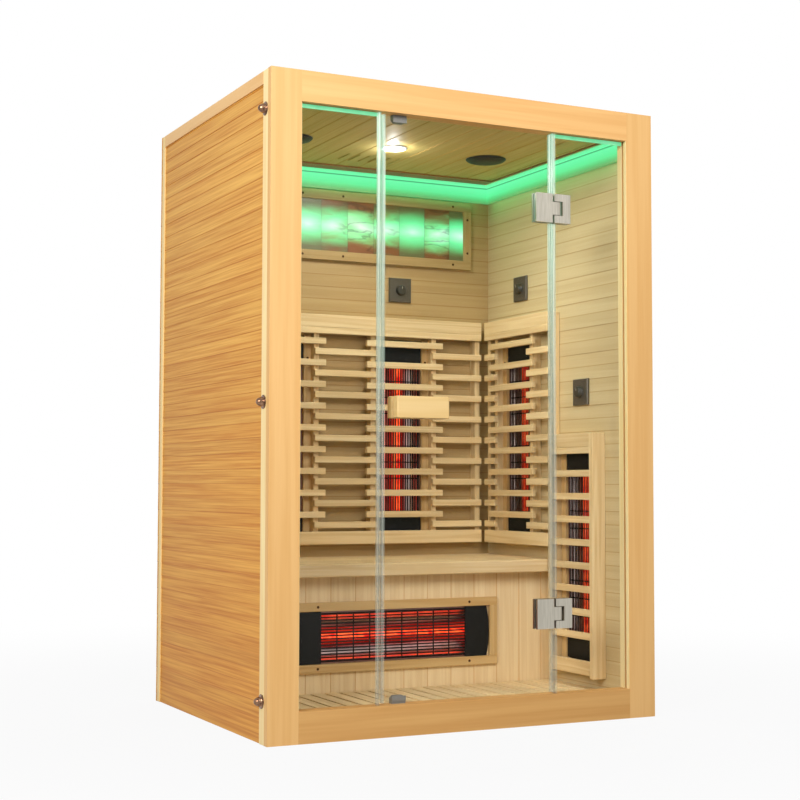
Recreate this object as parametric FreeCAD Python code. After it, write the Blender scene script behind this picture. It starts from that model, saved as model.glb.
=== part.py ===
"""Infrared sauna cabin for two people, free-standing, with a glazed front.

Millimetres, +Z up, the glazed front faces -Y. The origin is on the ground at the middle of the
cabin's plan. The timber walls, floor and roof are panels, the front is a timber frame with two
fixed panes and a glass door on two clamp hinges, and seven tube heaters warm the room.
"""
import FreeCAD, Part
import math
import os

Vector = FreeCAD.Vector

# Cabin outside
WIDTH = 1300.0
DEPTH = 1010.0
HEIGHT = 1900.0

# Front frame: face boards with a glazing batten behind them
POST_WIDTH = 94.0
TOP_RAIL_HEIGHT = 90.0
SILL_HEIGHT = 90.0
FACE_BOARD = 22.0
BATTEN_DEPTH = 28.0
GROOVE_DEPTH = 10.0
GROOVE_CLEARANCE = 0.5

# Side walls: frame, recessed outer boards, lining
SIDE_FRAME = 36.0
SIDE_BOARD = 10.0
BOARD_RECESS = 4.0
SIDE_LINING = 14.0
SIDE_STILE = 39.0
SIDE_TOP_RAIL = 38.0

# Back wall: outer boards, frame, lining
BACK_BOARD = 12.0
BACK_FRAME = 22.0
BACK_LINING = 16.0

FRAME_MEMBER = 40.0
BOTTOM_RAIL = 60.0

# Lapped boards: each stands a little proud of the next at its seam
BOARD_PITCH = 43.6
BOARD_FIRST_SEAM = 26.4
BOARD_LAP = 1.2
WIDE_BOARD_PITCH = 87.2
SEAM_MARGIN = 3.0

# Floor
FLOOR_PANEL = 40.0
DUCK_BATTEN = 8.0
DUCK_BATTEN_WIDTH = 60.0
DUCK_BATTEN_PLACES = (0.1, 0.5, 0.9)
DUCK_SLAT = 12.0
DUCK_SLAT_WIDTH = 40.0
DUCK_PITCH = 50.0
DUCK_END_GAP = 2.0

# Roof
ROOF_DEPTH = 62.0
CEILING_BOARD = 12.0
JOIST_WIDTH = 30.0
JOIST_HEIGHT = 36.0
CROSS_JOIST_X = 195.0
ROOF_COVER = 8.0
POWER_UNIT_SIZE = (240.0, 160.0, 34.0)
POWER_UNIT_FROM_JOIST = 45.0
GLAND_FROM_SIDE = 164.0
GLAND_FROM_REAR = 71.0
GLAND_BORE_R = 8.0
GLAND_BODY_R = 11.0
GLAND_HEX = 28.0
GLAND_NUT_SIDES = 6
GLAND_RISE = 5.0
GLAND_DEPTH = 12.0

# Glass
GLASS = 8.0
GLASS_SETBACK = 17.0
DOOR_LEFT = -292.0
DOOR_GAP = 8.0
DOOR_CLEARANCE = 5.0
SEAL_WALL = 1.2
SEAL_LIP = 2.0
SEAL_LEG = 10.0

# Glass clamp hinges
HINGE_X = 306.0
LOWER_HINGE_RISE = 236.0
UPPER_HINGE_DROP = 231.0
HINGE_PLATE_HEIGHT = 90.0
HINGE_PLATE = 9.0
HINGE_GASKET = 1.0
HINGE_GASKET_INSET = 2.0
DOOR_CLAMP_WIDTH = 59.0
FIXED_CLAMP_WIDTH = 58.0
BARREL_R = 13.5
BARREL_HEIGHT = 40.0
DOOR_EDGE_FROM_AXIS = 21.0
PANE_EDGE_FROM_AXIS = 14.0
CLAMP_EDGE_INSET = 0.5
NOTCH_CLEARANCE = 2.0
PIN_R = 4.0
PIN_SEAT = 14.0
PIN_SEAT_WIDTH = 24.0
PIN_PRESS_CLEARANCE = 0.03
PIN_RUN_CLEARANCE = 0.05
PANE_CUTOUT_MARGIN = 3.0
HINGE_SEAL_GAP = 2.0

# Door handle: a wooden block on each side of the glass
HANDLE_LENGTH = 170.0
HANDLE_HEIGHT = 64.0
HANDLE_DEPTH = 30.0
HANDLE_LEFT_INSET = 35.0
HANDLE_BELOW_MIDDLE = 3.0
HANDLE_EDGE = 3.0
HANDLE_BOLT_R = 4.0
HANDLE_BOLT_INSET = 28.0
HANDLE_BOLT_GRIP = 20.0
HANDLE_HOLE_R = 6.0
BOLT_CLEARANCE = 0.1

# Magnet catches and their strikes
CATCH_INSET = 38.0
CATCH_LENGTH = 44.0
CATCH_HEIGHT = 23.0
CATCH_DEPTH = 18.0
CATCH_CHAMFER = 8.0
STRIKE = 1.8
STRIKE_HEIGHT = 15.0
STRIKE_EDGE_INSET = 2.0
CATCH_GAP = 0.3

# Bench
SEAT_HEIGHT = 470.0
SEAT_BOARD = 22.0
SEAT_BOARDS = 5
SEAT_GAP = 4.0
SEAT_DEPTH = 485.0
NOSING_DEPTH = 20.0
NOSING_HEIGHT = 42.0
NOSING_ROUND = 5.0
APRON_SET_BACK = 55.0
APRON_BOARD = 12.0
BEARER_WIDTH = 30.0
BEARER_HEIGHT = 40.0
SEAT_JOIST_X = 200.0

# Backrests and low heater guards: boards and slats nailed on stiles
STILE_DEPTH = 35.0
STILE_WIDTH = 20.0
SLAT = 15.0
SLAT_HEIGHT = 22.0
SLAT_PITCH = 75.7
HEATER_SLAT_DROP = 93.0
BETWEEN_SLAT_DROP = 128.8
GUARD_SLAT_DROP = 56.0
HEATER_SLAT_LENGTH = 304.0
SLAT_LAP = 41.0
REST_RAIL_HEIGHT = 45.0
REST_ABOVE_SEAT = 44.0
REST_CAP = 12.0
REST_CORNER_GAP = 57.0
REST_FRONT_OVERHANG = 7.0
GUARD_HALF = 135.0
GUARD_FROM_BENCH = 10.0
GUARD_TOP_ROOM = 50.0
GUARD_FLOOR_GAP = 36.0
GUARD_RAIL_RISE = 9.0

# Tube heaters: tray, tube, grille, end caps, timber surround
HEATER_END_ROOM = 98.0
HEATER_WIDTH = 165.0
CAP_LENGTH = 91.0
CAP_BULGE = 10.0
CAP_BOW_SIDES = 4
CAP_THICKNESS = 5.0
TRAY_END_INSET = 7.0
TRAY_SHEET = 2.0
TRAY_MOUTH = 158.0
TRAY_BED = 126.0
TRAY_DEPTH = 32.0
TRAY_CLEARANCE = 1.0
TUBE_R = 9.0
TUBE_END_INSET = 62.0
TUBE_SET_IN = 14.0
TUBE_CLEARANCE = 0.1
HOLDER_WIDTH = 26.0
HOLDER_THICKNESS = 8.0
HOLDER_FROM_END = 10.0
HOLDER_TOP = 8.0
GRILLE_BARS = 16
GRILLE_BAR_WIDTH = 4.5
GRILLE_EDGE_GAP = 1.5
GRILLE_TUCK = 12.0
CROSS_WIRES = 8
CROSS_WIRE_WIDTH = 4.0
CROSS_WIRE_DEPTH = 2.0
SURROUND_WIDTH = 28.0
SURROUND = 12.0
SURROUND_GAP = 1.0
BACK_HEATER_X = 231.0
HEATER_ABOVE_REST_FOOT = 24.0
SIDE_HEATER_FROM_BACK = 240.0
LOW_HEATER_RISE = 78.0
BENCH_HEATER_BELOW_MIDDLE = 9.0

# Rotary dimmers, one above each wall heater
DIMMER_PLATE = 88.0
DIMMER_PLATE_THICKNESS = 8.0
DIMMER_PLATE_EDGE = 2.0
DIMMER_BODY = 50.0
DIMMER_BODY_DEPTH = 28.0
DIMMER_HOLE_MARGIN = 1.0
SPINDLE_R = 3.0
SPINDLE_REACH = 20.0
SPINDLE_END_GAP = 1.0
KNOB_R = 19.0
KNOB_SIDES = 12
KNOB_HEIGHT = 16.0
KNOB_GAP = 0.3
DIMMER_BELOW_SALT = 90.0
DIMMER_ABOVE_REST = 108.0
DIMMER_ABOVE_GUARD = 140.0

# Back-lit salt tile panel on the back wall
SALT_SIDE_GAP = 80.0
SALT_COVE_GAP = 6.0
SALT_HEIGHT = 248.0
SALT_FRAME_WIDTH = 33.0
SALT_FRAME_DEPTH = 15.0
SALT_REBATE = 6.0
SALT_TILE = 10.0
SALT_TILE_WIDTH = 102.5
SALT_LEDGE = 12.0
LAMP_WIDTH = 24.0
LAMP_DEPTH = 12.0
LAMP_END_GAP = 20.0

# Cove light strip under the ceiling
COVE_HEIGHT = 70.0
COVE_DEPTH = 12.0
COVE_LIP = 9.0
COVE_LIP_DEPTH = 16.0
COVE_GROOVE = 3.0
COVE_GROOVE_DEPTH = 8.0

# Ceiling fittings
SPEAKER_X = 360.0
SPEAKER_Y = 50.0
SPEAKER_R = 69.0
SPEAKER_RIM = 2.0
SPEAKER_SHOULDER_R = 62.0
SPEAKER_SHOULDER = 8.0
SPEAKER_CROWN_R = 41.0
SPEAKER_DOME = 13.0
SPEAKER_HOLE_R = 52.0
DRIVER_R = 50.0
DRIVER_RIM = 14.0
DRIVER_SHOULDER = 21.0
MAGNET_R = 34.0
DRIVER_DEPTH = 34.0
LAMP_Y = 35.0
DOWNLIGHT_R = 44.0
DOWNLIGHT_LENS_R = 34.0
DOWNLIGHT_BODY_R = 38.0
DOWNLIGHT_RIM = 4.0
DOWNLIGHT_LENS = 3.0
DOWNLIGHT_DEPTH = 26.0
DOWNLIGHT_CLEARANCE = 1.0
DOWNLIGHT_NECK_R = 34.0
VENT_SLOTS = 6
VENT_SLOT_PITCH = 38.0
VENT_SLOT_WIDTH = 9.0
VENT_SLOT_LENGTH = 105.0
VENT_FROM_BACK = 223.0
SHUTTER = 6.0
SHUTTER_MARGIN = 16.0
SHUTTER_TRAVEL = VENT_SLOT_PITCH / 2
SHUTTER_GAP = 0.3
RUNNER_WIDTH = 8.0
RUNNER_HEIGHT = 12.0
VENT_KNOB_R = 10.0
VENT_KNOB_FACE_R = 8.0
VENT_KNOB_NECK_R = 7.0
VENT_KNOB_HEIGHT = 12.0
VENT_KNOB_WAIST = 8.0
VENT_KNOB_DROP = 3.0
VENT_STEM_R = 4.0
VENT_STEM_CLEARANCE = 1.0
VENT_KNOB_OFFSET = 82.0

# Flanged dome nuts that hold the side walls to the front frame
LOW_BOLT_RISE = 119.0
TOP_BOLT_DROP = 113.0
BOLT_FROM_FRAME = 21.0
NUT_FLANGE_R = 20.0
NUT_FLANGE = 2.0
NUT_DOME_R = 14.0
NUT_SHOULDER_R = 12.0
NUT_SHOULDER = 13.0
NUT_CROWN_R = 5.0
NUT_HEIGHT = 22.0

# Small turned fittings and their holes have flat sides
FITTING_SIDES = 8
HOLE_SIDES = 8
CUT_OVERRUN = 1.0
EDGE_TOLERANCE = 1.0

# Levels and faces that follow from the sizes above
LEFT, RIGHT = -WIDTH / 2, WIDTH / 2
FRONT, BACK = -DEPTH / 2, DEPTH / 2
FRAME_BACK = FRONT + FACE_BOARD
BATTEN_BACK = FRAME_BACK + BATTEN_DEPTH
OPENING_X = RIGHT - POST_WIDTH
OPENING_TOP = HEIGHT - TOP_RAIL_HEIGHT
SIDE_FRAME_INNER = RIGHT - SIDE_FRAME
SIDE_INNER = SIDE_FRAME_INNER - SIDE_LINING
BACK_FRAME_REAR = BACK - BACK_BOARD
BACK_LINING_REAR = BACK_FRAME_REAR - BACK_FRAME
BACK_INNER = BACK_LINING_REAR - BACK_LINING
CEILING_HEIGHT = HEIGHT - ROOF_DEPTH
CEILING_TOP = CEILING_HEIGHT + CEILING_BOARD
JOIST_TOP = CEILING_TOP + JOIST_HEIGHT
FLOOR_TOP = FLOOR_PANEL
DUCK_TOP = FLOOR_TOP + DUCK_BATTEN + DUCK_SLAT
GLASS_FRONT = FRONT + GLASS_SETBACK
GLASS_REAR = GLASS_FRONT + GLASS
GLASS_MID = GLASS_FRONT + GLASS / 2
DOOR_RIGHT = HINGE_X - DOOR_EDGE_FROM_AXIS
RIGHT_PANE_EDGE = HINGE_X - PANE_EDGE_FROM_AXIS
LEFT_PANE_EDGE = DOOR_LEFT - DOOR_GAP
DOOR_BOTTOM = SILL_HEIGHT + DOOR_CLEARANCE
DOOR_TOP = OPENING_TOP - DOOR_CLEARANCE
HINGE_HEIGHTS = (DOOR_BOTTOM + LOWER_HINGE_RISE, DOOR_TOP - UPPER_HINGE_DROP)
HANDLE_Z = (DOOR_BOTTOM + DOOR_TOP) / 2 - HANDLE_BELOW_MIDDLE
BOLT_HEIGHTS = (LOW_BOLT_RISE, HEIGHT / 2, HEIGHT - TOP_BOLT_DROP)
SEAT_UNDER = SEAT_HEIGHT - SEAT_BOARD
BEARER_BOTTOM = SEAT_UNDER - BEARER_HEIGHT
NOSING_FRONT_Y = BACK_INNER - SEAT_DEPTH
APRON_Y = NOSING_FRONT_Y + APRON_SET_BACK
SALT_HALF_WIDTH = SIDE_INNER - SALT_SIDE_GAP
SALT_TOP_Z = CEILING_HEIGHT - COVE_HEIGHT - SALT_COVE_GAP
SALT_BOTTOM_Z = SALT_TOP_Z - SALT_HEIGHT
WALL_DIMMER_Z = SALT_BOTTOM_Z - DIMMER_BELOW_SALT
REST_DEPTH = STILE_DEPTH + SLAT
REST_TOP_Z = WALL_DIMMER_Z - DIMMER_ABOVE_REST
REST_BOTTOM_Z = SEAT_HEIGHT + REST_ABOVE_SEAT
BACK_REST_HALF = SIDE_INNER - REST_CORNER_GAP
SIDE_REST_REAR_Y = BACK_INNER - REST_CORNER_GAP
SIDE_REST_FRONT_Y = NOSING_FRONT_Y - REST_FRONT_OVERHANG
HEATER_LENGTH = REST_TOP_Z - REST_BOTTOM_Z - HEATER_END_ROOM
TRAY_LENGTH = HEATER_LENGTH - 2 * TRAY_END_INSET
TUBE_LENGTH = HEATER_LENGTH - 2 * TUBE_END_INSET
WALL_HEATER_Z = REST_BOTTOM_Z + HEATER_ABOVE_REST_FOOT + HEATER_LENGTH / 2
SIDE_HEATER_Y = BACK_INNER - SIDE_HEATER_FROM_BACK
LOW_HEATER_Y = NOSING_FRONT_Y - GUARD_FROM_BENCH - GUARD_HALF
LOW_HEATER_Z = DUCK_TOP + LOW_HEATER_RISE + HEATER_LENGTH / 2
BENCH_HEATER_Z = (FLOOR_TOP + SEAT_UNDER) / 2 - BENCH_HEATER_BELOW_MIDDLE
GUARD_TOP_Z = LOW_HEATER_Z + HEATER_LENGTH / 2 + GUARD_TOP_ROOM
GUARD_BOTTOM_Z = DUCK_TOP + GUARD_FLOOR_GAP
GUARD_RAIL_Z = GUARD_BOTTOM_Z + GUARD_RAIL_RISE
LOW_DIMMER_Z = GUARD_TOP_Z + DIMMER_ABOVE_GUARD
VENT_Y = BACK_INNER - VENT_FROM_BACK
POWER_UNIT_FRONT = BATTEN_BACK + JOIST_WIDTH + POWER_UNIT_FROM_JOIST
GLAND_X = SIDE_FRAME_INNER - GLAND_FROM_SIDE
GLAND_Y = BACK_LINING_REAR - GLAND_FROM_REAR

nodes = {}


def add(name, *solids):
    """Put solids into the named node."""
    nodes.setdefault(name, []).extend(solids)


def box(xs, ys, zs):
    """Box between two values on each axis, in either order."""
    low = [min(pair) for pair in (xs, ys, zs)]
    high = [max(pair) for pair in (xs, ys, zs)]
    return Part.makeBox(*[b - a for a, b in zip(low, high)], Vector(*low))


def prism(points, along):
    """Closed outline of straight sides, extruded along a vector."""
    corners = [Vector(*p) for p in points]
    return Part.Face(Part.makePolygon(corners + corners[:1])).extrude(Vector(*along))


def cylinder(radius, start, along):
    """Round bar from a start point along a vector."""
    axis = Vector(*along)
    return Part.makeCylinder(radius, axis.Length, Vector(*start), axis)


def faceted(rings, sides, centre, axis=(0, 0, 1)):
    """Flat-sided turned piece between two flat ends: (corner radius, height) rings on an axis."""
    turns = [2 * math.pi * k / sides for k in range(sides)]
    loops = [[Vector(r * math.cos(t), r * math.sin(t), h) for t in turns] for r, h in rings]
    outlines = [loops[0][::-1], loops[-1]]
    for low, high in zip(loops, loops[1:]):
        outlines += [[low[k - 1], low[k], high[k], high[k - 1]] for k in range(sides)]
    shell = Part.makeShell([Part.Face(Part.makePolygon(o + o[:1])) for o in outlines])
    shell.sewShape()
    solid = Part.makeSolid(shell)
    if solid.Volume < 0:
        solid.reverse()
    solid.Placement = FreeCAD.Placement(
        Vector(*centre), FreeCAD.Rotation(Vector(0, 0, 1), Vector(*axis)))
    return solid


def flat_bar(radius, sides, start, along):
    """Flat-sided bar with its corners at a radius."""
    return faceted([(radius, 0), (radius, Vector(*along).Length)], sides, start, along)


def flat_bore(radius, sides, start, along):
    """Flat-sided hole that a round bar of this radius just passes."""
    return flat_bar(radius / math.cos(math.pi / sides), sides, start, along)


def mirrored(shape):
    """The same piece on the other side of the cabin."""
    return shape.mirror(Vector(0, 0, 0), Vector(1, 0, 0))


def drilled(shape, tools):
    """Shape with every tool cut away, as one clean solid."""
    return shape.cut(tools).removeSplitter().Solids[0]


def joined(shape, others):
    """Shape fused with others, as one clean solid."""
    return shape.fuse(others).removeSplitter().Solids[0]


def seams(low, high, pitch, first):
    """Places of the board seams strictly inside a span."""
    count = int((high - first) / pitch) + 1
    places = [first + pitch * k for k in range(count)]
    return [p for p in places if low + SEAM_MARGIN < p < high - SEAM_MARGIN]


def boarded(low, high, thickness, places):
    """Outline of a boarded panel: flat back at 0, each board's near edge proud of the next."""
    face = []
    for place in reversed(places):
        face += [(thickness, place), (thickness - BOARD_LAP, place)]
    return [(0, low), (0, high), (thickness - BOARD_LAP, high)] + face + [(thickness, low)]


def on_back(shape, along, height):
    """Place a wall fitting, made at the origin facing -Y, on the back wall's lining."""
    placed = shape.copy()
    placed.translate(Vector(along, BACK_INNER, height))
    return placed


def on_right(shape, along, height):
    """Place the same kind of fitting on the right wall's lining, facing -X."""
    placed = shape.copy()
    placed.rotate(Vector(0, 0, 0), Vector(0, 0, 1), -90)
    placed.translate(Vector(SIDE_INNER, along, height))
    return placed


def on_left(shape, along, height):
    """Place the same kind of fitting on the left wall's lining, facing +X."""
    return mirrored(on_right(shape, along, height))


def on_bench(shape, height):
    """Lay the same kind of fitting on its side on the bench apron, facing -Y."""
    placed = shape.copy()
    placed.rotate(Vector(0, 0, 0), Vector(0, 1, 0), 90)
    placed.translate(Vector(0, APRON_Y, height))
    return placed


def wall_heaters(shape):
    """Copies of a heater piece at the six wall heaters."""
    back = [on_back(shape, side * BACK_HEATER_X, WALL_HEATER_Z) for side in (-1, 1)]
    sides = [place(shape, along, height) for place in (on_left, on_right)
             for along, height in ((SIDE_HEATER_Y, WALL_HEATER_Z), (LOW_HEATER_Y, LOW_HEATER_Z))]
    return back + sides


def all_heaters(shape):
    """Copies of a heater piece at the six wall heaters and the bench heater."""
    return wall_heaters(shape) + [on_bench(shape, BENCH_HEATER_Z)]


# Floor panel between the walls, with a duckboard of slats on battens in front of the bench
add("floor_panel", box((-SIDE_INNER, SIDE_INNER), (BATTEN_BACK, BACK_INNER), (0, FLOOR_PANEL)))

duck_front = BATTEN_BACK + DUCK_END_GAP
duck_rear = APRON_Y - DUCK_END_GAP
duck_slats = int((2 * SIDE_INNER - DUCK_SLAT_WIDTH) / DUCK_PITCH) + 1
duck_half = DUCK_PITCH * (duck_slats - 1) / 2
batten_end = duck_half + DUCK_SLAT_WIDTH / 2
for share in DUCK_BATTEN_PLACES:
    middle = duck_front + share * (duck_rear - duck_front)
    add("duckboard", box((-batten_end, batten_end),
                         (middle - DUCK_BATTEN_WIDTH / 2, middle + DUCK_BATTEN_WIDTH / 2),
                         (FLOOR_TOP, FLOOR_TOP + DUCK_BATTEN)))
for k in range(duck_slats):
    middle = k * DUCK_PITCH - duck_half
    add("duckboard", box((middle - DUCK_SLAT_WIDTH / 2, middle + DUCK_SLAT_WIDTH / 2),
                         (duck_front, duck_rear), (DUCK_TOP - DUCK_SLAT, DUCK_TOP)))

# Dome nuts that draw each side wall to its front post
bolt_y = FRAME_BACK + BOLT_FROM_FRAME
for height in BOLT_HEIGHTS:
    nut = faceted([(NUT_FLANGE_R, 0), (NUT_FLANGE_R, NUT_FLANGE), (NUT_DOME_R, NUT_FLANGE),
                   (NUT_SHOULDER_R, NUT_SHOULDER), (NUT_CROWN_R, NUT_HEIGHT)],
                  FITTING_SIDES, (RIGHT, bolt_y, height), (1, 0, 0))
    add("corner_bolts", nut, mirrored(nut))

# Side wall frames: the front stile and the top rail show, the other members lie behind the boards
board_outer = RIGHT - BOARD_RECESS
board_inner = board_outer - SIDE_BOARD
shown = (SIDE_FRAME_INNER, RIGHT)
hidden = (SIDE_FRAME_INNER, board_inner)
stile_back = FRAME_BACK + SIDE_STILE
side_rear = BACK_LINING_REAR
rail_bottom = HEIGHT - SIDE_TOP_RAIL
middle_stile_y = (SIDE_HEATER_Y + LOW_HEATER_Y) / 2
side_frame = [
    box(shown, (FRAME_BACK, stile_back), (0, HEIGHT)),
    box(shown, (stile_back, side_rear), (rail_bottom, HEIGHT)),
    box(hidden, (stile_back, side_rear), (0, BOTTOM_RAIL)),
    box(hidden, (side_rear - FRAME_MEMBER, side_rear), (BOTTOM_RAIL, rail_bottom)),
    box(hidden, (middle_stile_y - FRAME_MEMBER / 2, middle_stile_y + FRAME_MEMBER / 2),
        (BOTTOM_RAIL, rail_bottom)),
]
add("wall_frames", *side_frame, *[mirrored(member) for member in side_frame])

# Back wall frame: stiles, rails and a rail under the tile panel's lamp recess
back_depth = (BACK_LINING_REAR, BACK_FRAME_REAR)
stile_inner = SIDE_FRAME_INNER - FRAME_MEMBER / 2
lamp_rail_top = SALT_BOTTOM_Z
lamp_rail_bottom = lamp_rail_top - FRAME_MEMBER
add("wall_frames",
    box((-RIGHT, -stile_inner), back_depth, (0, HEIGHT)),
    box((stile_inner, RIGHT), back_depth, (0, HEIGHT)),
    box((-stile_inner, stile_inner), back_depth, (0, BOTTOM_RAIL)),
    box((-stile_inner, stile_inner), back_depth, (CEILING_HEIGHT, HEIGHT)),
    box((-stile_inner, stile_inner), back_depth, (lamp_rail_bottom, lamp_rail_top)),
    box((-FRAME_MEMBER / 2, FRAME_MEMBER / 2), back_depth, (BOTTOM_RAIL, lamp_rail_bottom)))

# Outer boards, laid level and lapped at each seam
side_seams = seams(0, rail_bottom, BOARD_PITCH, BOARD_FIRST_SEAM)
outer_side = prism([(board_inner + n, stile_back, z)
                    for n, z in boarded(0, rail_bottom, SIDE_BOARD, side_seams)],
                   (0, side_rear - stile_back, 0))
add("outer_boards_right", outer_side)
add("outer_boards_left", mirrored(outer_side))
back_seams = seams(0, HEIGHT, WIDE_BOARD_PITCH, BOARD_FIRST_SEAM)
add("outer_boards_back", prism([(LEFT, BACK_FRAME_REAR + n, z)
                                for n, z in boarded(0, HEIGHT, BACK_BOARD, back_seams)],
                               (WIDTH, 0, 0)))

# Lining boards inside, open behind each heater tray, dimmer and the tile panel's lamp
tray_hole = box((-TRAY_MOUTH / 2 - TRAY_CLEARANCE, TRAY_MOUTH / 2 + TRAY_CLEARANCE),
                (-CUT_OVERRUN, TRAY_DEPTH),
                (-TRAY_LENGTH / 2 - TRAY_CLEARANCE, TRAY_LENGTH / 2 + TRAY_CLEARANCE))
dimmer_hole_half = DIMMER_BODY / 2 + DIMMER_HOLE_MARGIN
dimmer_hole = box((-dimmer_hole_half, dimmer_hole_half), (-CUT_OVERRUN, DIMMER_BODY_DEPTH),
                  (-dimmer_hole_half, dimmer_hole_half))
side_dimmers = ((SIDE_HEATER_Y, WALL_DIMMER_Z), (LOW_HEATER_Y, LOW_DIMMER_Z))
lining_seams = seams(0, CEILING_HEIGHT, WIDE_BOARD_PITCH, BOARD_FIRST_SEAM)
side_lining = prism([(SIDE_FRAME_INNER - n, FRAME_BACK, z)
                     for n, z in boarded(0, CEILING_HEIGHT, SIDE_LINING, lining_seams)],
                    (0, side_rear - FRAME_BACK, 0))
side_holes = [on_right(tray_hole, SIDE_HEATER_Y, WALL_HEATER_Z),
              on_right(tray_hole, LOW_HEATER_Y, LOW_HEATER_Z)]
side_holes += [on_right(dimmer_hole, along, height) for along, height in side_dimmers]
side_lining = drilled(side_lining, side_holes)
add("lining_right", side_lining)
add("lining_left", mirrored(side_lining))

tile_half = SALT_HALF_WIDTH - SALT_FRAME_WIDTH + SALT_REBATE
tile_bottom = SALT_BOTTOM_Z + SALT_FRAME_WIDTH - SALT_REBATE
tile_top = SALT_TOP_Z - SALT_FRAME_WIDTH + SALT_REBATE
recess_half = tile_half - SALT_LEDGE
recess = box((-recess_half, recess_half), (BACK_INNER - CUT_OVERRUN, BACK_LINING_REAR),
             (tile_bottom + SALT_LEDGE, tile_top - SALT_LEDGE))
back_lining = prism([(-SIDE_INNER, BACK_LINING_REAR - n, z)
                     for n, z in boarded(0, CEILING_HEIGHT, BACK_LINING, lining_seams)],
                    (2 * SIDE_INNER, 0, 0))
back_holes = [recess]
for side in (-1, 1):
    back_holes += [on_back(tray_hole, side * BACK_HEATER_X, WALL_HEATER_Z),
                   on_back(dimmer_hole, side * BACK_HEATER_X, WALL_DIMMER_Z)]
add("lining_back", drilled(back_lining, back_holes))

# Front posts: face board with the grooved glazing batten behind it, in one L-shaped section
groove_front = GLASS_FRONT - GROOVE_CLEARANCE
groove_rear = GLASS_REAR + GROOVE_CLEARANCE
post = prism([(RIGHT, FRONT, 0), (RIGHT, FRAME_BACK, 0), (SIDE_INNER, FRAME_BACK, 0),
              (SIDE_INNER, BATTEN_BACK, 0), (OPENING_X, BATTEN_BACK, 0),
              (OPENING_X, groove_rear, 0), (OPENING_X + GROOVE_DEPTH, groove_rear, 0),
              (OPENING_X + GROOVE_DEPTH, groove_front, 0), (OPENING_X, groove_front, 0),
              (OPENING_X, FRONT, 0)], (0, 0, HEIGHT))
add("front_post_right", post)
add("front_post_left", mirrored(post))

# Top rail and sill between the posts, grooved over the width of the fixed panes only
groove_runs = ((-OPENING_X, LEFT_PANE_EDGE), (RIGHT_PANE_EDGE, OPENING_X))
rail_depth = (FRONT, BATTEN_BACK)
groove_depth = (groove_front, groove_rear)
top_rail = box((-OPENING_X, OPENING_X), rail_depth, (OPENING_TOP, HEIGHT))
add("front_top_rail", drilled(top_rail, [box(run, groove_depth,
                                             (OPENING_TOP, OPENING_TOP + GROOVE_DEPTH))
                                         for run in groove_runs]))
sill = box((-OPENING_X, OPENING_X), rail_depth, (0, SILL_HEIGHT))
add("front_sill", drilled(sill, [box(run, groove_depth, (SILL_HEIGHT - GROOVE_DEPTH, SILL_HEIGHT))
                                 for run in groove_runs]))

# Fixed panes, seated on the sill's groove; the right one is cut out round each hinge barrel
pane_outer = OPENING_X + GROOVE_DEPTH - GROOVE_CLEARANCE
pane_depth = (GLASS_FRONT, GLASS_REAR)
pane_height = (SILL_HEIGHT - GROOVE_DEPTH, OPENING_TOP + GROOVE_DEPTH - GROOVE_CLEARANCE)
add("fixed_pane_left", box((-pane_outer, LEFT_PANE_EDGE), pane_depth, pane_height))
notch_half = BARREL_HEIGHT / 2 + NOTCH_CLEARANCE
seat_half = notch_half + PIN_SEAT
notch_right = HINGE_X + BARREL_R + NOTCH_CLEARANCE
cutouts = [box((RIGHT_PANE_EDGE - CUT_OVERRUN, notch_right + PANE_CUTOUT_MARGIN), pane_depth,
               (z - seat_half - PANE_CUTOUT_MARGIN, z + seat_half + PANE_CUTOUT_MARGIN))
           for z in HINGE_HEIGHTS]
add("fixed_pane_right", drilled(box((RIGHT_PANE_EDGE, pane_outer), pane_depth, pane_height),
                                cutouts))

# Glass door with two holes for the handle bolts
handle_left = DOOR_LEFT + HANDLE_LEFT_INSET
handle_right = handle_left + HANDLE_LENGTH
bolt_xs = (handle_left + HANDLE_BOLT_INSET, handle_right - HANDLE_BOLT_INSET)
door = box((DOOR_LEFT, DOOR_RIGHT), pane_depth, (DOOR_BOTTOM, DOOR_TOP))
add("door_pane", drilled(door, [flat_bore(HANDLE_HOLE_R, HOLE_SIDES, (x, GLASS_FRONT, HANDLE_Z),
                                          (0, GLASS, 0)) for x in bolt_xs]))


def edge_seal(edge, towards, low, high):
    """Clear U-shaped strip over a pane's upright edge; its legs run towards the pane."""
    outer, inner = edge - towards * SEAL_LIP, edge + towards * (SEAL_LEG - SEAL_LIP)
    front, rear = GLASS_FRONT - SEAL_WALL, GLASS_REAR + SEAL_WALL
    return prism([(outer, front, low), (inner, front, low), (inner, GLASS_FRONT, low),
                  (edge, GLASS_FRONT, low), (edge, GLASS_REAR, low), (inner, GLASS_REAR, low),
                  (inner, rear, low), (outer, rear, low)], (0, 0, high - low))


def runs_between_hinges(low, high):
    """Upright runs left free by the hinge plates."""
    half = HINGE_PLATE_HEIGHT / 2 + HINGE_SEAL_GAP
    stops = [low] + [z + s * half for z in HINGE_HEIGHTS for s in (-1, 1)] + [high]
    return list(zip(stops[0::2], stops[1::2]))


# Edge seals of the fixed panes and of the door
add("pane_seals", edge_seal(LEFT_PANE_EDGE, -1, SILL_HEIGHT, OPENING_TOP))
add("door_seals", edge_seal(DOOR_LEFT, 1, DOOR_BOTTOM, DOOR_TOP))
for low, high in runs_between_hinges(SILL_HEIGHT, OPENING_TOP):
    add("pane_seals", edge_seal(RIGHT_PANE_EDGE, 1, low, high))
for low, high in runs_between_hinges(DOOR_BOTTOM, DOOR_TOP):
    add("door_seals", edge_seal(DOOR_RIGHT, -1, low, high))

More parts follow.
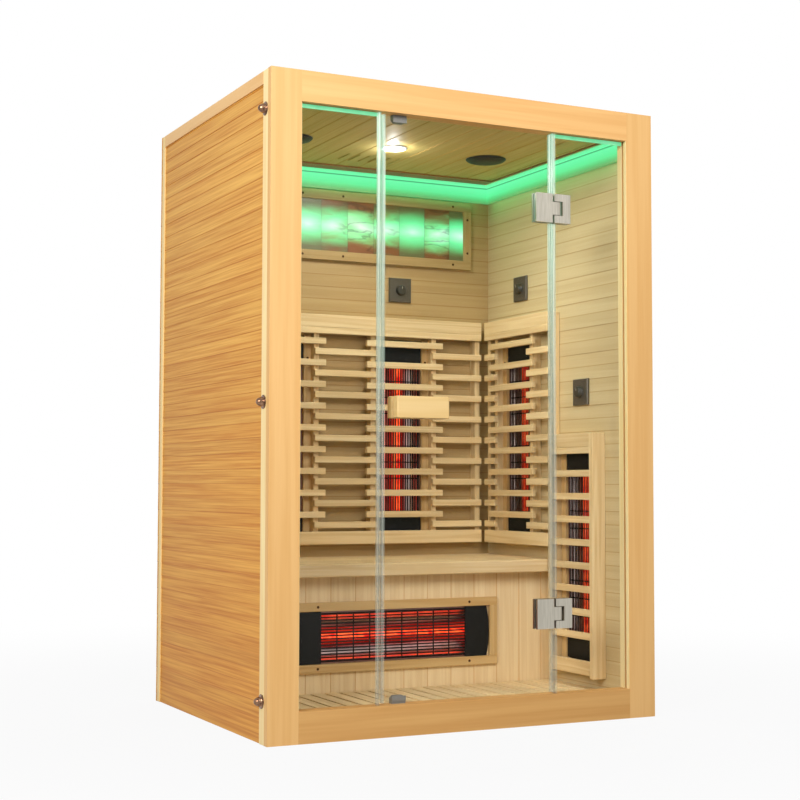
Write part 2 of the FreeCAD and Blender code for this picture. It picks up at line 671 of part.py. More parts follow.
# Clamp hinges: two plates grip each pane over thin gaskets, and the door's barrel turns on a pin
plate_half = HINGE_PLATE_HEIGHT / 2
front_plate = (GLASS_FRONT - HINGE_GASKET - HINGE_PLATE, GLASS_FRONT - HINGE_GASKET)
rear_plate = (GLASS_REAR + HINGE_GASKET, GLASS_REAR + HINGE_GASKET + HINGE_PLATE)
fixed_left = RIGHT_PANE_EDGE - CLAMP_EDGE_INSET
fixed_span = (fixed_left, fixed_left + FIXED_CLAMP_WIDTH)
door_span = (DOOR_RIGHT - DOOR_CLAMP_WIDTH, DOOR_RIGHT)
gasket_half = plate_half - HINGE_GASKET_INSET
fixed_gasket = (notch_right + PANE_CUTOUT_MARGIN, fixed_span[1] - HINGE_GASKET_INSET)
door_gasket = (door_span[0] + HINGE_GASKET_INSET, DOOR_RIGHT)
barrel_depth = (GLASS_MID - BARREL_R, GLASS_MID + BARREL_R)
for z in HINGE_HEIGHTS:
    full = (z - plate_half, z + plate_half)
    notch = box((fixed_left - CUT_OVERRUN, notch_right), (front_plate[0], rear_plate[1]),
                (z - notch_half, z + notch_half))
    seats = [box((HINGE_X - PIN_SEAT_WIDTH / 2, HINGE_X + PIN_SEAT_WIDTH / 2),
                 (front_plate[1], rear_plate[0]), (z + s * notch_half, z + s * seat_half))
             for s in (-1, 1)]
    pin_foot = (HINGE_X, GLASS_MID, z - seat_half)
    pin_rise = (0, 0, 2 * seat_half)
    seat_bore = flat_bore(PIN_R + PIN_PRESS_CLEARANCE, HOLE_SIDES, pin_foot, pin_rise)
    add("hinge_fixed_clamps",
        drilled(joined(box(fixed_span, front_plate, full), seats), [notch, seat_bore]),
        drilled(box(fixed_span, rear_plate, full), [notch]))
    barrel_foot = (HINGE_X, GLASS_MID, z - BARREL_HEIGHT / 2)
    barrel_rise = (0, 0, BARREL_HEIGHT)
    tongue = box((DOOR_RIGHT, HINGE_X), barrel_depth,
                 (z - BARREL_HEIGHT / 2, z + BARREL_HEIGHT / 2))
    moving = joined(box(door_span, front_plate, full),
                    [tongue, cylinder(BARREL_R, barrel_foot, barrel_rise)])
    add("hinge_door_clamps",
        drilled(moving, [cylinder(PIN_R + PIN_RUN_CLEARANCE, barrel_foot, barrel_rise)]),
        box(door_span, rear_plate, full))
    add("hinge_pins", cylinder(PIN_R, pin_foot, pin_rise))
    pad = (z - gasket_half, z + gasket_half)
    for depth in ((front_plate[1], GLASS_FRONT), (GLASS_REAR, rear_plate[0])):
        add("pane_seals", box(fixed_gasket, depth, pad))
        add("door_seals", box(door_gasket, depth, pad))

# Handle: one wooden block on each face of the door, drawn together by two through bolts
grip_reach = GLASS_FRONT - HANDLE_BOLT_GRIP
bolt_length = GLASS + 2 * HANDLE_BOLT_GRIP
handle_bores = [flat_bar(HANDLE_BOLT_R + BOLT_CLEARANCE, HOLE_SIDES,
                         (x, grip_reach - BOLT_CLEARANCE, HANDLE_Z),
                         (0, bolt_length + 2 * BOLT_CLEARANCE, 0)) for x in bolt_xs]
for name, near, far in (("handle_outer", GLASS_FRONT, GLASS_FRONT - HANDLE_DEPTH),
                        ("handle_inner", GLASS_REAR, GLASS_REAR + HANDLE_DEPTH)):
    block = box((handle_left, handle_right), (near, far),
                (HANDLE_Z - HANDLE_HEIGHT / 2, HANDLE_Z + HANDLE_HEIGHT / 2))
    free_edges = [e for e in block.Edges if abs(e.CenterOfMass.y - near) > EDGE_TOLERANCE]
    add(name, drilled(block.makeChamfer(HANDLE_EDGE, free_edges), handle_bores))
for x in bolt_xs:
    add("handle_bolts", flat_bar(HANDLE_BOLT_R, HOLE_SIDES, (x, grip_reach, HANDLE_Z),
                                 (0, bolt_length, 0)))

# Magnet catches inside the top rail and the sill, with steel strikes on the door glass
catch_left = DOOR_LEFT + CATCH_INSET
catch_xs = (catch_left, catch_left + CATCH_LENGTH)
strike_ys = (GLASS_REAR, GLASS_REAR + STRIKE)
catch_front = GLASS_REAR + STRIKE + CATCH_GAP
for root, door_edge, into in ((OPENING_TOP, DOOR_TOP, -1), (SILL_HEIGHT, DOOR_BOTTOM, 1)):
    body = box(catch_xs, (catch_front, catch_front + CATCH_DEPTH),
               (root, root + into * CATCH_HEIGHT))
    free_end = root + into * CATCH_HEIGHT
    corners = [e for e in body.Edges if abs(e.CenterOfMass.z - free_end) < EDGE_TOLERANCE
               and e.Length < CATCH_LENGTH - EDGE_TOLERANCE]
    add("magnet_catches", body.makeChamfer(CATCH_CHAMFER, corners))
    near = door_edge + into * STRIKE_EDGE_INSET
    add("strike_plates", box(catch_xs, strike_ys, (near, near + into * STRIKE_HEIGHT)))

# Ceiling: boards laid front to back, cut for the speakers, the downlight and the vent
ceiling_front, ceiling_rear = BATTEN_BACK, BACK_LINING_REAR
ceiling_half = SIDE_FRAME_INNER
ceiling_seams = [p - ceiling_half
                 for p in seams(0, 2 * ceiling_half, WIDE_BOARD_PITCH, BOARD_FIRST_SEAM)]
ceiling = prism([(s, ceiling_front, CEILING_TOP - n)
                 for n, s in boarded(-ceiling_half, ceiling_half, CEILING_BOARD, ceiling_seams)],
                (0, ceiling_rear - ceiling_front, 0))
slot_xs = [(k - (VENT_SLOTS - 1) / 2) * VENT_SLOT_PITCH for k in range(VENT_SLOTS)]
slot_ys = (VENT_Y - VENT_SLOT_LENGTH / 2, VENT_Y + VENT_SLOT_LENGTH / 2)


def vent_slots(low, high):
    """The row of vent slots, cut between two levels."""
    return [box((x - VENT_SLOT_WIDTH / 2, x + VENT_SLOT_WIDTH / 2), slot_ys, (low, high))
            for x in slot_xs]


vent_knob_y = VENT_Y - VENT_KNOB_OFFSET
stem_hole_half = VENT_STEM_R + VENT_STEM_CLEARANCE
ceiling_holes = vent_slots(CEILING_HEIGHT, CEILING_TOP)
ceiling_holes.append(box((-stem_hole_half, SHUTTER_TRAVEL + stem_hole_half),
                         (vent_knob_y - stem_hole_half, vent_knob_y + stem_hole_half),
                         (CEILING_HEIGHT, CEILING_TOP)))
up_through = (0, 0, CEILING_BOARD)
for side in (-1, 1):
    ceiling_holes.append(flat_bore(SPEAKER_HOLE_R, HOLE_SIDES,
                                   (side * SPEAKER_X, SPEAKER_Y, CEILING_HEIGHT), up_through))
ceiling_holes.append(flat_bore(DOWNLIGHT_BODY_R + DOWNLIGHT_CLEARANCE, HOLE_SIDES,
                               (0, LAMP_Y, CEILING_HEIGHT), up_through))
add("ceiling_panel", drilled(ceiling, ceiling_holes))

# Roof space: joists, the vent's runners, the power unit and a flat cover with the cable gland
joist_z = (CEILING_TOP, JOIST_TOP)
inner_front, inner_rear = ceiling_front + JOIST_WIDTH, ceiling_rear - JOIST_WIDTH
add("roof_joists",
    box((-ceiling_half, ceiling_half), (ceiling_front, inner_front), joist_z),
    box((-ceiling_half, ceiling_half), (inner_rear, ceiling_rear), joist_z))
for x in (-ceiling_half + JOIST_WIDTH / 2, -CROSS_JOIST_X, CROSS_JOIST_X,
          ceiling_half - JOIST_WIDTH / 2):
    add("roof_joists", box((x - JOIST_WIDTH / 2, x + JOIST_WIDTH / 2), (inner_front, inner_rear),
                           joist_z))
shutter_half = slot_xs[-1] + SHUTTER_MARGIN
shutter_ys = (vent_knob_y - SHUTTER_MARGIN, slot_ys[1] + SHUTTER_MARGIN)
runner_half = CROSS_JOIST_X - JOIST_WIDTH / 2
for near, out in zip(shutter_ys, (-1, 1)):
    edge = near + out * SHUTTER_GAP
    add("roof_joists", box((-runner_half, runner_half), (edge, edge + out * RUNNER_WIDTH),
                           (CEILING_TOP, CEILING_TOP + RUNNER_HEIGHT)))
unit_width, unit_depth, unit_height = POWER_UNIT_SIZE
add("power_unit", box((-unit_width / 2, unit_width / 2),
                      (POWER_UNIT_FRONT, POWER_UNIT_FRONT + unit_depth),
                      (CEILING_TOP, CEILING_TOP + unit_height)))
cover_top = JOIST_TOP + ROOF_COVER
cover = box((-ceiling_half, ceiling_half), (ceiling_front, ceiling_rear), (JOIST_TOP, cover_top))
gland_foot = (GLAND_X, GLAND_Y, cover_top - GLAND_DEPTH)
add("roof_cover", drilled(cover, [cylinder(GLAND_BODY_R, gland_foot, (0, 0, GLAND_DEPTH))]))
gland_nut = flat_bore(GLAND_HEX / 2, GLAND_NUT_SIDES, (GLAND_X, GLAND_Y, cover_top), (0, 0, GLAND_RISE))
gland_stem = flat_bar(GLAND_BODY_R, HOLE_SIDES, gland_foot, (0, 0, GLAND_DEPTH))
gland_bore = cylinder(GLAND_BORE_R, gland_foot, (0, 0, GLAND_DEPTH + GLAND_RISE))
add("cable_gland", drilled(joined(gland_nut, [gland_stem]), [gland_bore]))

# Vent shutter: a slotted board over the ceiling, moved by a small turned knob under it
shutter = box((-shutter_half, shutter_half), shutter_ys, (CEILING_TOP, CEILING_TOP + SHUTTER))
knob_top = CEILING_HEIGHT - VENT_KNOB_DROP
add("vent_shutter",
    drilled(shutter, vent_slots(CEILING_TOP, CEILING_TOP + SHUTTER)),
    faceted([(VENT_KNOB_FACE_R, -VENT_KNOB_HEIGHT), (VENT_KNOB_R, -VENT_KNOB_WAIST),
             (VENT_KNOB_NECK_R, 0), (VENT_STEM_R, 0), (VENT_STEM_R, CEILING_TOP - knob_top)],
            HOLE_SIDES, (0, vent_knob_y, knob_top)))

# Ceiling speakers: a domed cover under the ceiling and the driver above it
for side in (-1, 1):
    centre = (side * SPEAKER_X, SPEAKER_Y, CEILING_HEIGHT)
    add("ceiling_speakers",
        faceted([(SPEAKER_R, 0), (SPEAKER_R, -SPEAKER_RIM), (SPEAKER_SHOULDER_R, -SPEAKER_SHOULDER),
                 (SPEAKER_CROWN_R, -SPEAKER_DOME)], FITTING_SIDES, centre),
        faceted([(DRIVER_R, 0), (DRIVER_R, DRIVER_RIM), (MAGNET_R, DRIVER_SHOULDER),
                 (MAGNET_R, DRIVER_DEPTH)], HOLE_SIDES, centre))

# Ceiling downlight: a stepped metal can with a lens in its mouth
downlight = (0, LAMP_Y, CEILING_HEIGHT)
can = faceted([(DOWNLIGHT_R, -DOWNLIGHT_RIM), (DOWNLIGHT_R, 0), (DOWNLIGHT_BODY_R, 0),
               (DOWNLIGHT_NECK_R, DOWNLIGHT_DEPTH)], FITTING_SIDES, downlight)
lens = flat_bar(DOWNLIGHT_LENS_R, FITTING_SIDES, (0, LAMP_Y, CEILING_HEIGHT - DOWNLIGHT_RIM),
                (0, 0, DOWNLIGHT_LENS))
add("ceiling_lamp", drilled(can, [lens]), lens)

# Bench: seat boards and a nosing on bearers, closed in front by a boarded apron
seat_front = NOSING_FRONT_Y + NOSING_DEPTH
seat_span = (-SIDE_INNER, SIDE_INNER)
board_step = (BACK_INNER - seat_front + SEAT_GAP) / SEAT_BOARDS
for k in range(SEAT_BOARDS):
    near = seat_front + k * board_step
    add("bench_seat", box(seat_span, (near, near + board_step - SEAT_GAP), (SEAT_UNDER, SEAT_HEIGHT)))
nosing = box(seat_span, (NOSING_FRONT_Y, seat_front), (SEAT_HEIGHT - NOSING_HEIGHT, SEAT_HEIGHT))
nosing_edges = [e for e in nosing.Edges
                if e.CenterOfMass.y < NOSING_FRONT_Y + EDGE_TOLERANCE and e.Length > NOSING_HEIGHT]
add("bench_seat", nosing.makeFillet(NOSING_ROUND, nosing_edges))

apron_seams = [p - SIDE_INNER for p in seams(0, 2 * SIDE_INNER, WIDE_BOARD_PITCH, BOARD_FIRST_SEAM)]
apron_rear = APRON_Y + APRON_BOARD
apron = prism([(s, apron_rear - n, FLOOR_TOP)
               for n, s in boarded(-SIDE_INNER, SIDE_INNER, APRON_BOARD, apron_seams)],
              (0, 0, SEAT_UNDER - FLOOR_TOP))
add("bench_apron", drilled(apron, [on_bench(tray_hole, BENCH_HEATER_Z)]))

bearer_z = (BEARER_BOTTOM, SEAT_UNDER)
bearer_rear = BACK_INNER - BEARER_WIDTH
bearer_front = apron_rear + BEARER_WIDTH
add("bench_bearers",
    box(seat_span, (apron_rear, bearer_front), bearer_z),
    box(seat_span, (bearer_rear, BACK_INNER), bearer_z))
for x in (-SIDE_INNER + BEARER_WIDTH / 2, -SEAT_JOIST_X, SEAT_JOIST_X,
          SIDE_INNER - BEARER_WIDTH / 2):
    add("bench_bearers", box((x - BEARER_WIDTH / 2, x + BEARER_WIDTH / 2),
                             (bearer_front, bearer_rear), bearer_z))

# Tube heaters: everything is made upright at the origin, facing -Y, then placed
half_mouth, half_bed = TRAY_MOUTH / 2, TRAY_BED / 2
half_tray, half_width = TRAY_LENGTH / 2, HEATER_WIDTH / 2
tray_outer = [(-half_width, -TRAY_SHEET), (-half_width, 0), (-half_mouth, 0),
              (-half_bed, TRAY_DEPTH), (half_bed, TRAY_DEPTH), (half_mouth, 0),
              (half_width, 0), (half_width, -TRAY_SHEET)]
inner_mouth, inner_bed = half_mouth - TRAY_SHEET / 2, half_bed - TRAY_SHEET / 2
tray_inner = [(inner_mouth, -TRAY_SHEET), (inner_bed, TRAY_DEPTH - TRAY_SHEET),
              (-inner_bed, TRAY_DEPTH - TRAY_SHEET), (-inner_mouth, -TRAY_SHEET)]
tray = prism([(x, y, -half_tray) for x, y in tray_outer + tray_inner], (0, 0, TRAY_LENGTH))
add("heater_trays", *all_heaters(tray))
tube = flat_bar(TUBE_R, FITTING_SIDES, (0, TUBE_SET_IN, -TUBE_LENGTH / 2), (0, 0, TUBE_LENGTH))
add("heater_tubes", *all_heaters(tube))

# Tube holders: forked blocks that stand on the tray's bed
holder_half, fork_half = HOLDER_WIDTH / 2, TUBE_R + TUBE_CLEARANCE
fork_bed, holder_foot = TUBE_SET_IN + fork_half, TRAY_DEPTH - TRAY_SHEET
holder_outline = [(-holder_half, holder_foot), (-holder_half, HOLDER_TOP), (-fork_half, HOLDER_TOP),
                  (-fork_half, fork_bed), (fork_half, fork_bed), (fork_half, HOLDER_TOP),
                  (holder_half, HOLDER_TOP), (holder_half, holder_foot)]
holder_z = TUBE_LENGTH / 2 - HOLDER_FROM_END
for s in (-1, 1):
    holder = prism([(x, y, s * holder_z - HOLDER_THICKNESS / 2) for x, y in holder_outline],
                   (0, 0, HOLDER_THICKNESS))
    add("heater_trays", *all_heaters(holder))

# Black end caps with a bowed outer end
cap_root = HEATER_LENGTH / 2 - CAP_LENGTH
cap_outline = [(-half_width, cap_root), (half_width, cap_root)]
for k in range(CAP_BOW_SIDES + 1):
    across = 1 - 2 * k / CAP_BOW_SIDES
    cap_outline.append((across * half_width, HEATER_LENGTH / 2 - CAP_BULGE * across ** 2))
for s in (-1, 1):
    cap = prism([(x, -TRAY_SHEET, s * z) for x, z in cap_outline], (0, -CAP_THICKNESS, 0))
    add("heater_end_caps", *all_heaters(cap))

# Grille: long bars tucked under the caps, with cross wires welded behind them
mouth_slope = (inner_mouth - inner_bed) / TRAY_DEPTH
grille_half_width = inner_mouth - mouth_slope * TRAY_SHEET - GRILLE_EDGE_GAP
grille_half = cap_root + GRILLE_TUCK
bar_step = (2 * grille_half_width - GRILLE_BAR_WIDTH) / (GRILLE_BARS - 1)
for k in range(GRILLE_BARS):
    edge = k * bar_step - grille_half_width
    bar = box((edge, edge + GRILLE_BAR_WIDTH), (-TRAY_SHEET, 0), (-grille_half, grille_half))
    add("heater_grilles", *all_heaters(bar))
wire_reach = grille_half_width - mouth_slope * CROSS_WIRE_DEPTH
wire_step = 2 * cap_root / (CROSS_WIRES + 1)
for k in range(1, CROSS_WIRES + 1):
    middle = k * wire_step - cap_root
    wire = box((-wire_reach, wire_reach), (0, CROSS_WIRE_DEPTH),
               (middle - CROSS_WIRE_WIDTH / 2, middle + CROSS_WIRE_WIDTH / 2))
    add("heater_grilles", *all_heaters(wire))

# Timber surround of each heater: two long and two short pieces
near_x, near_z = half_width + SURROUND_GAP, HEATER_LENGTH / 2 + SURROUND_GAP
far_x, far_z = near_x + SURROUND_WIDTH, near_z + SURROUND_WIDTH
for s in (-1, 1):
    add("heater_surrounds",
        *all_heaters(box((s * near_x, s * far_x), (-SURROUND, 0), (-far_z, far_z))),
        *all_heaters(box((-near_x, near_x), (-SURROUND, 0), (s * near_z, s * far_z))))

# Slats and rails of the backrests, made facing -Y on the back wall's plane
slat_ys = (-REST_DEPTH, -STILE_DEPTH)
stile_offset = far_x + STILE_WIDTH / 2
lap_reach = HEATER_SLAT_LENGTH / 2 - SLAT_LAP


def slat(start, end, middle):
    """One slat between two places along the wall, at a height."""
    return box((start, end), slat_ys, (middle - SLAT_HEIGHT / 2, middle + SLAT_HEIGHT / 2))


def slat_rows(first, rail_top):
    """Heights of a column of slats, from the first down to a bottom rail."""
    count = int((first - SLAT_HEIGHT / 2 - rail_top) / SLAT_PITCH) + 1
    return [first - k * SLAT_PITCH for k in range(count)]


def rest_slats(start, end, heater_places):
    """Slats of a backrest: one set over each heater, the other set over the bays between."""
    stops = [start]
    for middle in heater_places:
        stops += [middle - lap_reach, middle + lap_reach]
    bays = list(zip(stops[0::2], stops[1::2] + [end]))
    rail_top = REST_BOTTOM_Z + REST_RAIL_HEIGHT
    over_heaters = [slat(middle - HEATER_SLAT_LENGTH / 2, middle + HEATER_SLAT_LENGTH / 2, height)
                    for height in slat_rows(REST_TOP_Z - HEATER_SLAT_DROP, rail_top)
                    for middle in heater_places]
    between = [slat(low, high, height)
               for height in slat_rows(REST_TOP_Z - BETWEEN_SLAT_DROP, rail_top)
               for low, high in bays]
    return over_heaters + between


def rest_frame(start, end, heater_places):
    """Rails, cap board and stiles of a backrest."""
    top_rail_bottom = REST_TOP_Z - REST_RAIL_HEIGHT
    made = [box((start, end), slat_ys, (top_rail_bottom, REST_TOP_Z)),
            box((start, end), slat_ys, (top_rail_bottom - SLAT_HEIGHT, top_rail_bottom)),
            box((start, end), slat_ys, (REST_BOTTOM_Z, REST_BOTTOM_Z + REST_RAIL_HEIGHT)),
            box((start, end), (-STILE_DEPTH, 0), (REST_TOP_Z - REST_CAP, REST_TOP_Z))]
    middles = [start + STILE_WIDTH / 2, end - STILE_WIDTH / 2]
    middles += [m + s * stile_offset for m in heater_places for s in (-1, 1)]
    made += [box((m - STILE_WIDTH / 2, m + STILE_WIDTH / 2), (-STILE_DEPTH, 0),
                 (REST_BOTTOM_Z, REST_TOP_Z - REST_CAP)) for m in middles]
    return made


back_places = (-BACK_HEATER_X, BACK_HEATER_X)
for name, make in (("backrest_back_slats", rest_slats), ("backrest_back_frame", rest_frame)):
    add(name, *[on_back(piece, 0, 0) for piece in make(-BACK_REST_HALF, BACK_REST_HALF, back_places)])

# Side backrests: the wall runs the other way on the right, so places change sign
for name, make in (("backrest_side_slats", rest_slats), ("backrest_side_frames", rest_frame)):
    for piece in make(-SIDE_REST_REAR_Y, -SIDE_REST_FRONT_Y, (-SIDE_HEATER_Y,)):
        add(name, on_right(piece, 0, 0), on_left(piece, 0, 0))

# Guards of the low heaters: two full-depth end boards with rails and slats between them
inside = GUARD_HALF - STILE_WIDTH
guard_frame = [box((s * inside, s * GUARD_HALF), (-REST_DEPTH, 0), (GUARD_BOTTOM_Z, GUARD_TOP_Z))
               for s in (-1, 1)]
guard_frame += [box((-inside, inside), slat_ys, (GUARD_TOP_Z - REST_RAIL_HEIGHT, GUARD_TOP_Z)),
                box((-inside, inside), slat_ys, (GUARD_RAIL_Z, GUARD_RAIL_Z + REST_RAIL_HEIGHT)),
                box((-inside, inside), (-STILE_DEPTH, 0), (GUARD_TOP_Z - REST_CAP, GUARD_TOP_Z))]
guard_slats = [slat(-inside, inside, height)
               for height in slat_rows(GUARD_TOP_Z - GUARD_SLAT_DROP, GUARD_RAIL_Z + REST_RAIL_HEIGHT)]
for name, pieces in (("heater_guard_frames", guard_frame), ("heater_guard_slats", guard_slats)):
    for piece in pieces:
        add(name, on_right(piece, LOW_HEATER_Y, 0), on_left(piece, LOW_HEATER_Y, 0))

# Dimmers: a square plate, a body in the wall, and a knob whose spindle turns in both
half_plate = DIMMER_PLATE / 2
plate = box((-half_plate, half_plate), (-DIMMER_PLATE_THICKNESS, 0), (-half_plate, half_plate))
face_edges = [e for e in plate.Edges
              if e.CenterOfMass.y < EDGE_TOLERANCE - DIMMER_PLATE_THICKNESS]
spindle_reach = SPINDLE_REACH - DIMMER_PLATE_THICKNESS
bore_half = SPINDLE_R + PIN_RUN_CLEARANCE
spindle_hole = box((-bore_half, bore_half), (-DIMMER_PLATE_THICKNESS, spindle_reach + SPINDLE_END_GAP),
                   (-bore_half, bore_half))
plate = drilled(plate.makeChamfer(DIMMER_PLATE_EDGE, face_edges), [spindle_hole])
half_body = DIMMER_BODY / 2
body = drilled(box((-half_body, half_body), (0, DIMMER_BODY_DEPTH), (-half_body, half_body)),
               [spindle_hole])
knob_back = -DIMMER_PLATE_THICKNESS - KNOB_GAP
knob = joined(flat_bar(KNOB_R, KNOB_SIDES, (0, knob_back, 0), (0, -KNOB_HEIGHT, 0)),
              [cylinder(SPINDLE_R, (0, knob_back, 0), (0, spindle_reach - knob_back, 0))])
knob_nodes = (("knob_back_left", on_back, -BACK_HEATER_X, WALL_DIMMER_Z),
              ("knob_back_right", on_back, BACK_HEATER_X, WALL_DIMMER_Z),
              ("knob_left_rear", on_left, SIDE_HEATER_Y, WALL_DIMMER_Z),
              ("knob_left_low", on_left, LOW_HEATER_Y, LOW_DIMMER_Z),
              ("knob_right_rear", on_right, SIDE_HEATER_Y, WALL_DIMMER_Z),
              ("knob_right_low", on_right, LOW_HEATER_Y, LOW_DIMMER_Z))
for name, place, along, height in knob_nodes:
    add(name, place(knob, along, height))
    add("dimmer_plates", place(plate, along, height), place(body, along, height))

# Salt tile panel: rebated frame, a row of tiles that ends in a cut one, and the lamp behind
tile_rear = BACK_INNER
tile_front = tile_rear - SALT_TILE
salt_front = BACK_INNER - SALT_FRAME_DEPTH
sight_half, sight_top, sight_bottom = (tile_half - SALT_REBATE, tile_top - SALT_REBATE,
                                       tile_bottom + SALT_REBATE)
for rail_edge, rebate_edge, sight_edge in ((SALT_TOP_Z, tile_top, sight_top),
                                           (SALT_BOTTOM_Z, tile_bottom, sight_bottom)):
    add("salt_panel_frame", prism([(-SALT_HALF_WIDTH, salt_front, rail_edge),
                                   (-SALT_HALF_WIDTH, tile_rear, rail_edge),
                                   (-SALT_HALF_WIDTH, tile_rear, rebate_edge),
                                   (-SALT_HALF_WIDTH, tile_front, rebate_edge),
                                   (-SALT_HALF_WIDTH, tile_front, sight_edge),
                                   (-SALT_HALF_WIDTH, salt_front, sight_edge)],
                                  (2 * SALT_HALF_WIDTH, 0, 0)))
for s in (-1, 1):
    stile_base = [(s * SALT_HALF_WIDTH, salt_front), (s * SALT_HALF_WIDTH, tile_front),
                  (s * sight_half, tile_front), (s * sight_half, salt_front)]
    add("salt_panel_frame",
        joined(prism([(x, y, sight_bottom) for x, y in stile_base], (0, 0, sight_top - sight_bottom)),
               [box((s * tile_half, s * SALT_HALF_WIDTH), (tile_front, tile_rear),
                    (tile_bottom, tile_top))]))
tile_edge = -tile_half
while tile_edge < tile_half - EDGE_TOLERANCE:
    tile_end = min(tile_edge + SALT_TILE_WIDTH, tile_half)
    add("salt_tiles", box((tile_edge, tile_end), (tile_front, tile_rear), (tile_bottom, tile_top)))
    tile_edge = tile_end
lamp_z = (tile_bottom + tile_top) / 2
lamp_half = recess_half - LAMP_END_GAP
lamp_front = BACK_FRAME_REAR - LAMP_DEPTH
add("salt_lamp", prism([(-lamp_half, BACK_FRAME_REAR, lamp_z - LAMP_WIDTH / 2),
                        (-lamp_half, BACK_FRAME_REAR, lamp_z + LAMP_WIDTH / 2),
                        (-lamp_half, lamp_front + LAMP_DEPTH / 2, lamp_z + LAMP_WIDTH / 2),
                        (-lamp_half, lamp_front, lamp_z + LAMP_WIDTH / 4),
                        (-lamp_half, lamp_front, lamp_z - LAMP_WIDTH / 4),
                        (-lamp_half, lamp_front + LAMP_DEPTH / 2, lamp_z - LAMP_WIDTH / 2)],
                       (2 * lamp_half, 0, 0)))

# Cove light: a lipped opal strip under the ceiling on three walls, mitred in the corners
cove_bottom = CEILING_HEIGHT - COVE_HEIGHT
lip_bottom = CEILING_HEIGHT - COVE_LIP
cove_profile = [(0, cove_bottom), (COVE_DEPTH, cove_bottom), (COVE_DEPTH, lip_bottom - COVE_GROOVE),
                (COVE_GROOVE_DEPTH, lip_bottom - COVE_GROOVE), (COVE_GROOVE_DEPTH, lip_bottom),
                (COVE_LIP_DEPTH, lip_bottom), (COVE_LIP_DEPTH, CEILING_HEIGHT), (0, CEILING_HEIGHT)]


def strip(start, end):
    """Solid between two copies of one outline, joined corner to corner."""
    wires = [Part.makePolygon([Vector(*p) for p in outline + outline[:1]]) for outline in (start, end)]
    return Part.makeLoft(wires, True, True)


add("cove_lights", strip([(n - SIDE_INNER, BACK_INNER - n, z) for n, z in cove_profile],
                         [(SIDE_INNER - n, BACK_INNER - n, z) for n, z in cove_profile]))
side_cove = strip([(SIDE_INNER - n, BATTEN_BACK, z) for n, z in cove_profile],
                  [(SIDE_INNER - n, BACK_INNER - n, z) for n, z in cove_profile])
add("cove_lights", side_cove, mirrored(side_cove))

os.makedirs("parts", exist_ok=True)
for name, solids in nodes.items():
    shape = solids[0] if len(solids) == 1 else Part.makeCompound(solids)
    shape.exportStep(f"parts/{name}.step")
print(len(nodes), "nodes,", sum(len(solids) for solids in nodes.values()), "solids")
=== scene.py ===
"""Infrared sauna cabin: oiled softwood, clear glass, tube heaters and a back-lit salt panel.

Metres, +Z up, the glazed front faces -Y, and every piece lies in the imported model's own frame.
"""
import bpy
import math
import numpy as np
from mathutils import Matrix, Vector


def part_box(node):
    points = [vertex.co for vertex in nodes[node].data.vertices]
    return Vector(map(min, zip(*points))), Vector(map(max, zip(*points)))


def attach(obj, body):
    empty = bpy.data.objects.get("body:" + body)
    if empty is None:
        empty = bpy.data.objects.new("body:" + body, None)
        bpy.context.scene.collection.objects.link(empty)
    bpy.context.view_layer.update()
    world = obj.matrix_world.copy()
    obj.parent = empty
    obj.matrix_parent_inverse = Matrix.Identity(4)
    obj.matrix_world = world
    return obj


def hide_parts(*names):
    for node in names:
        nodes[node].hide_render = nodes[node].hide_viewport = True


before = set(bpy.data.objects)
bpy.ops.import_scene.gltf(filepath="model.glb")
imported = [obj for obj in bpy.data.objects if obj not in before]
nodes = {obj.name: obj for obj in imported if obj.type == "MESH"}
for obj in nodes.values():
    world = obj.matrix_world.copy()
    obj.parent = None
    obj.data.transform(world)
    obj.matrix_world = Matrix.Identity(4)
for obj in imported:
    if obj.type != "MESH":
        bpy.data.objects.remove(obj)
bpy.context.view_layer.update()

# Floor and duckboard
# A plywood floor sheet lies between the walls. The duckboard on it is planed softwood slats nailed to
# three battens; each slat is cut from another plank, so grain and tone change from slat to slat.
MM = 0.001
EASED_EDGE = 1.5 * MM
BAR_CORNER_STEPS = 3
END_ROUNDING = 0.3
BOX_TRIANGLES = 12
GRAIN_SHIFT = 8.0
FIGURE_LENGTH, FIGURE_WIDTH = 0.9, 32 * MM
FIBRE_WIDTH = 6 * MM
GRAIN_BUMP = 0.4 * MM
SEAM_CORE, SEAM_EDGE = 0.4 * MM, 1.8 * MM
SEAM_TINT = np.array((1.0, 0.82, 0.64))
TONES_PER_METRE = 1.2
SEED = 7
random = np.random.default_rng(SEED)


def linear(colour):
    """Linear RGBA of an sRGB hex colour, by the sRGB curve."""
    shown = np.array([int(colour[k:k + 2], 16) for k in (1, 3, 5)]) / 255
    light = np.where(shown <= 0.04045, shown / 12.92, ((shown + 0.055) / 1.055) ** 2.4)
    return (*light.tolist(), 1.0)


def put(tree, kind, inputs=(), stops=(), **settings):
    """Add a node: set its properties, give each input its value or its link, and give a ramp its
    (position, colour) stops. A node that is linked stands for its first output."""
    made = tree.nodes.new("ShaderNode" + kind)
    for key, value in settings.items():
        setattr(made, key, value)
    for key, value in dict(inputs).items():
        if isinstance(value, bpy.types.Node):
            value = value.outputs[0]
        if isinstance(value, bpy.types.NodeSocket):
            tree.links.new(value, made.inputs[key])
        else:
            made.inputs[key].default_value = value
    if stops:
        marks = made.color_ramp.elements
        for mark, (position, colour) in zip((marks[0], marks[1]), (stops[0], stops[-1])):
            mark.position, mark.color = position, linear(colour)
        for position, colour in stops[1:-1]:
            marks.new(position).color = linear(colour)
    return made


def finish(name, **sockets):
    """A new material, its node tree and its Principled shader with some sockets set."""
    material = bpy.data.materials.new(name)
    material.use_nodes = True
    shader = material.node_tree.nodes["Principled BSDF"]
    for key, value in sockets.items():
        shader.inputs[key.replace("_", " ")].default_value = value
    return material, material.node_tree, shader


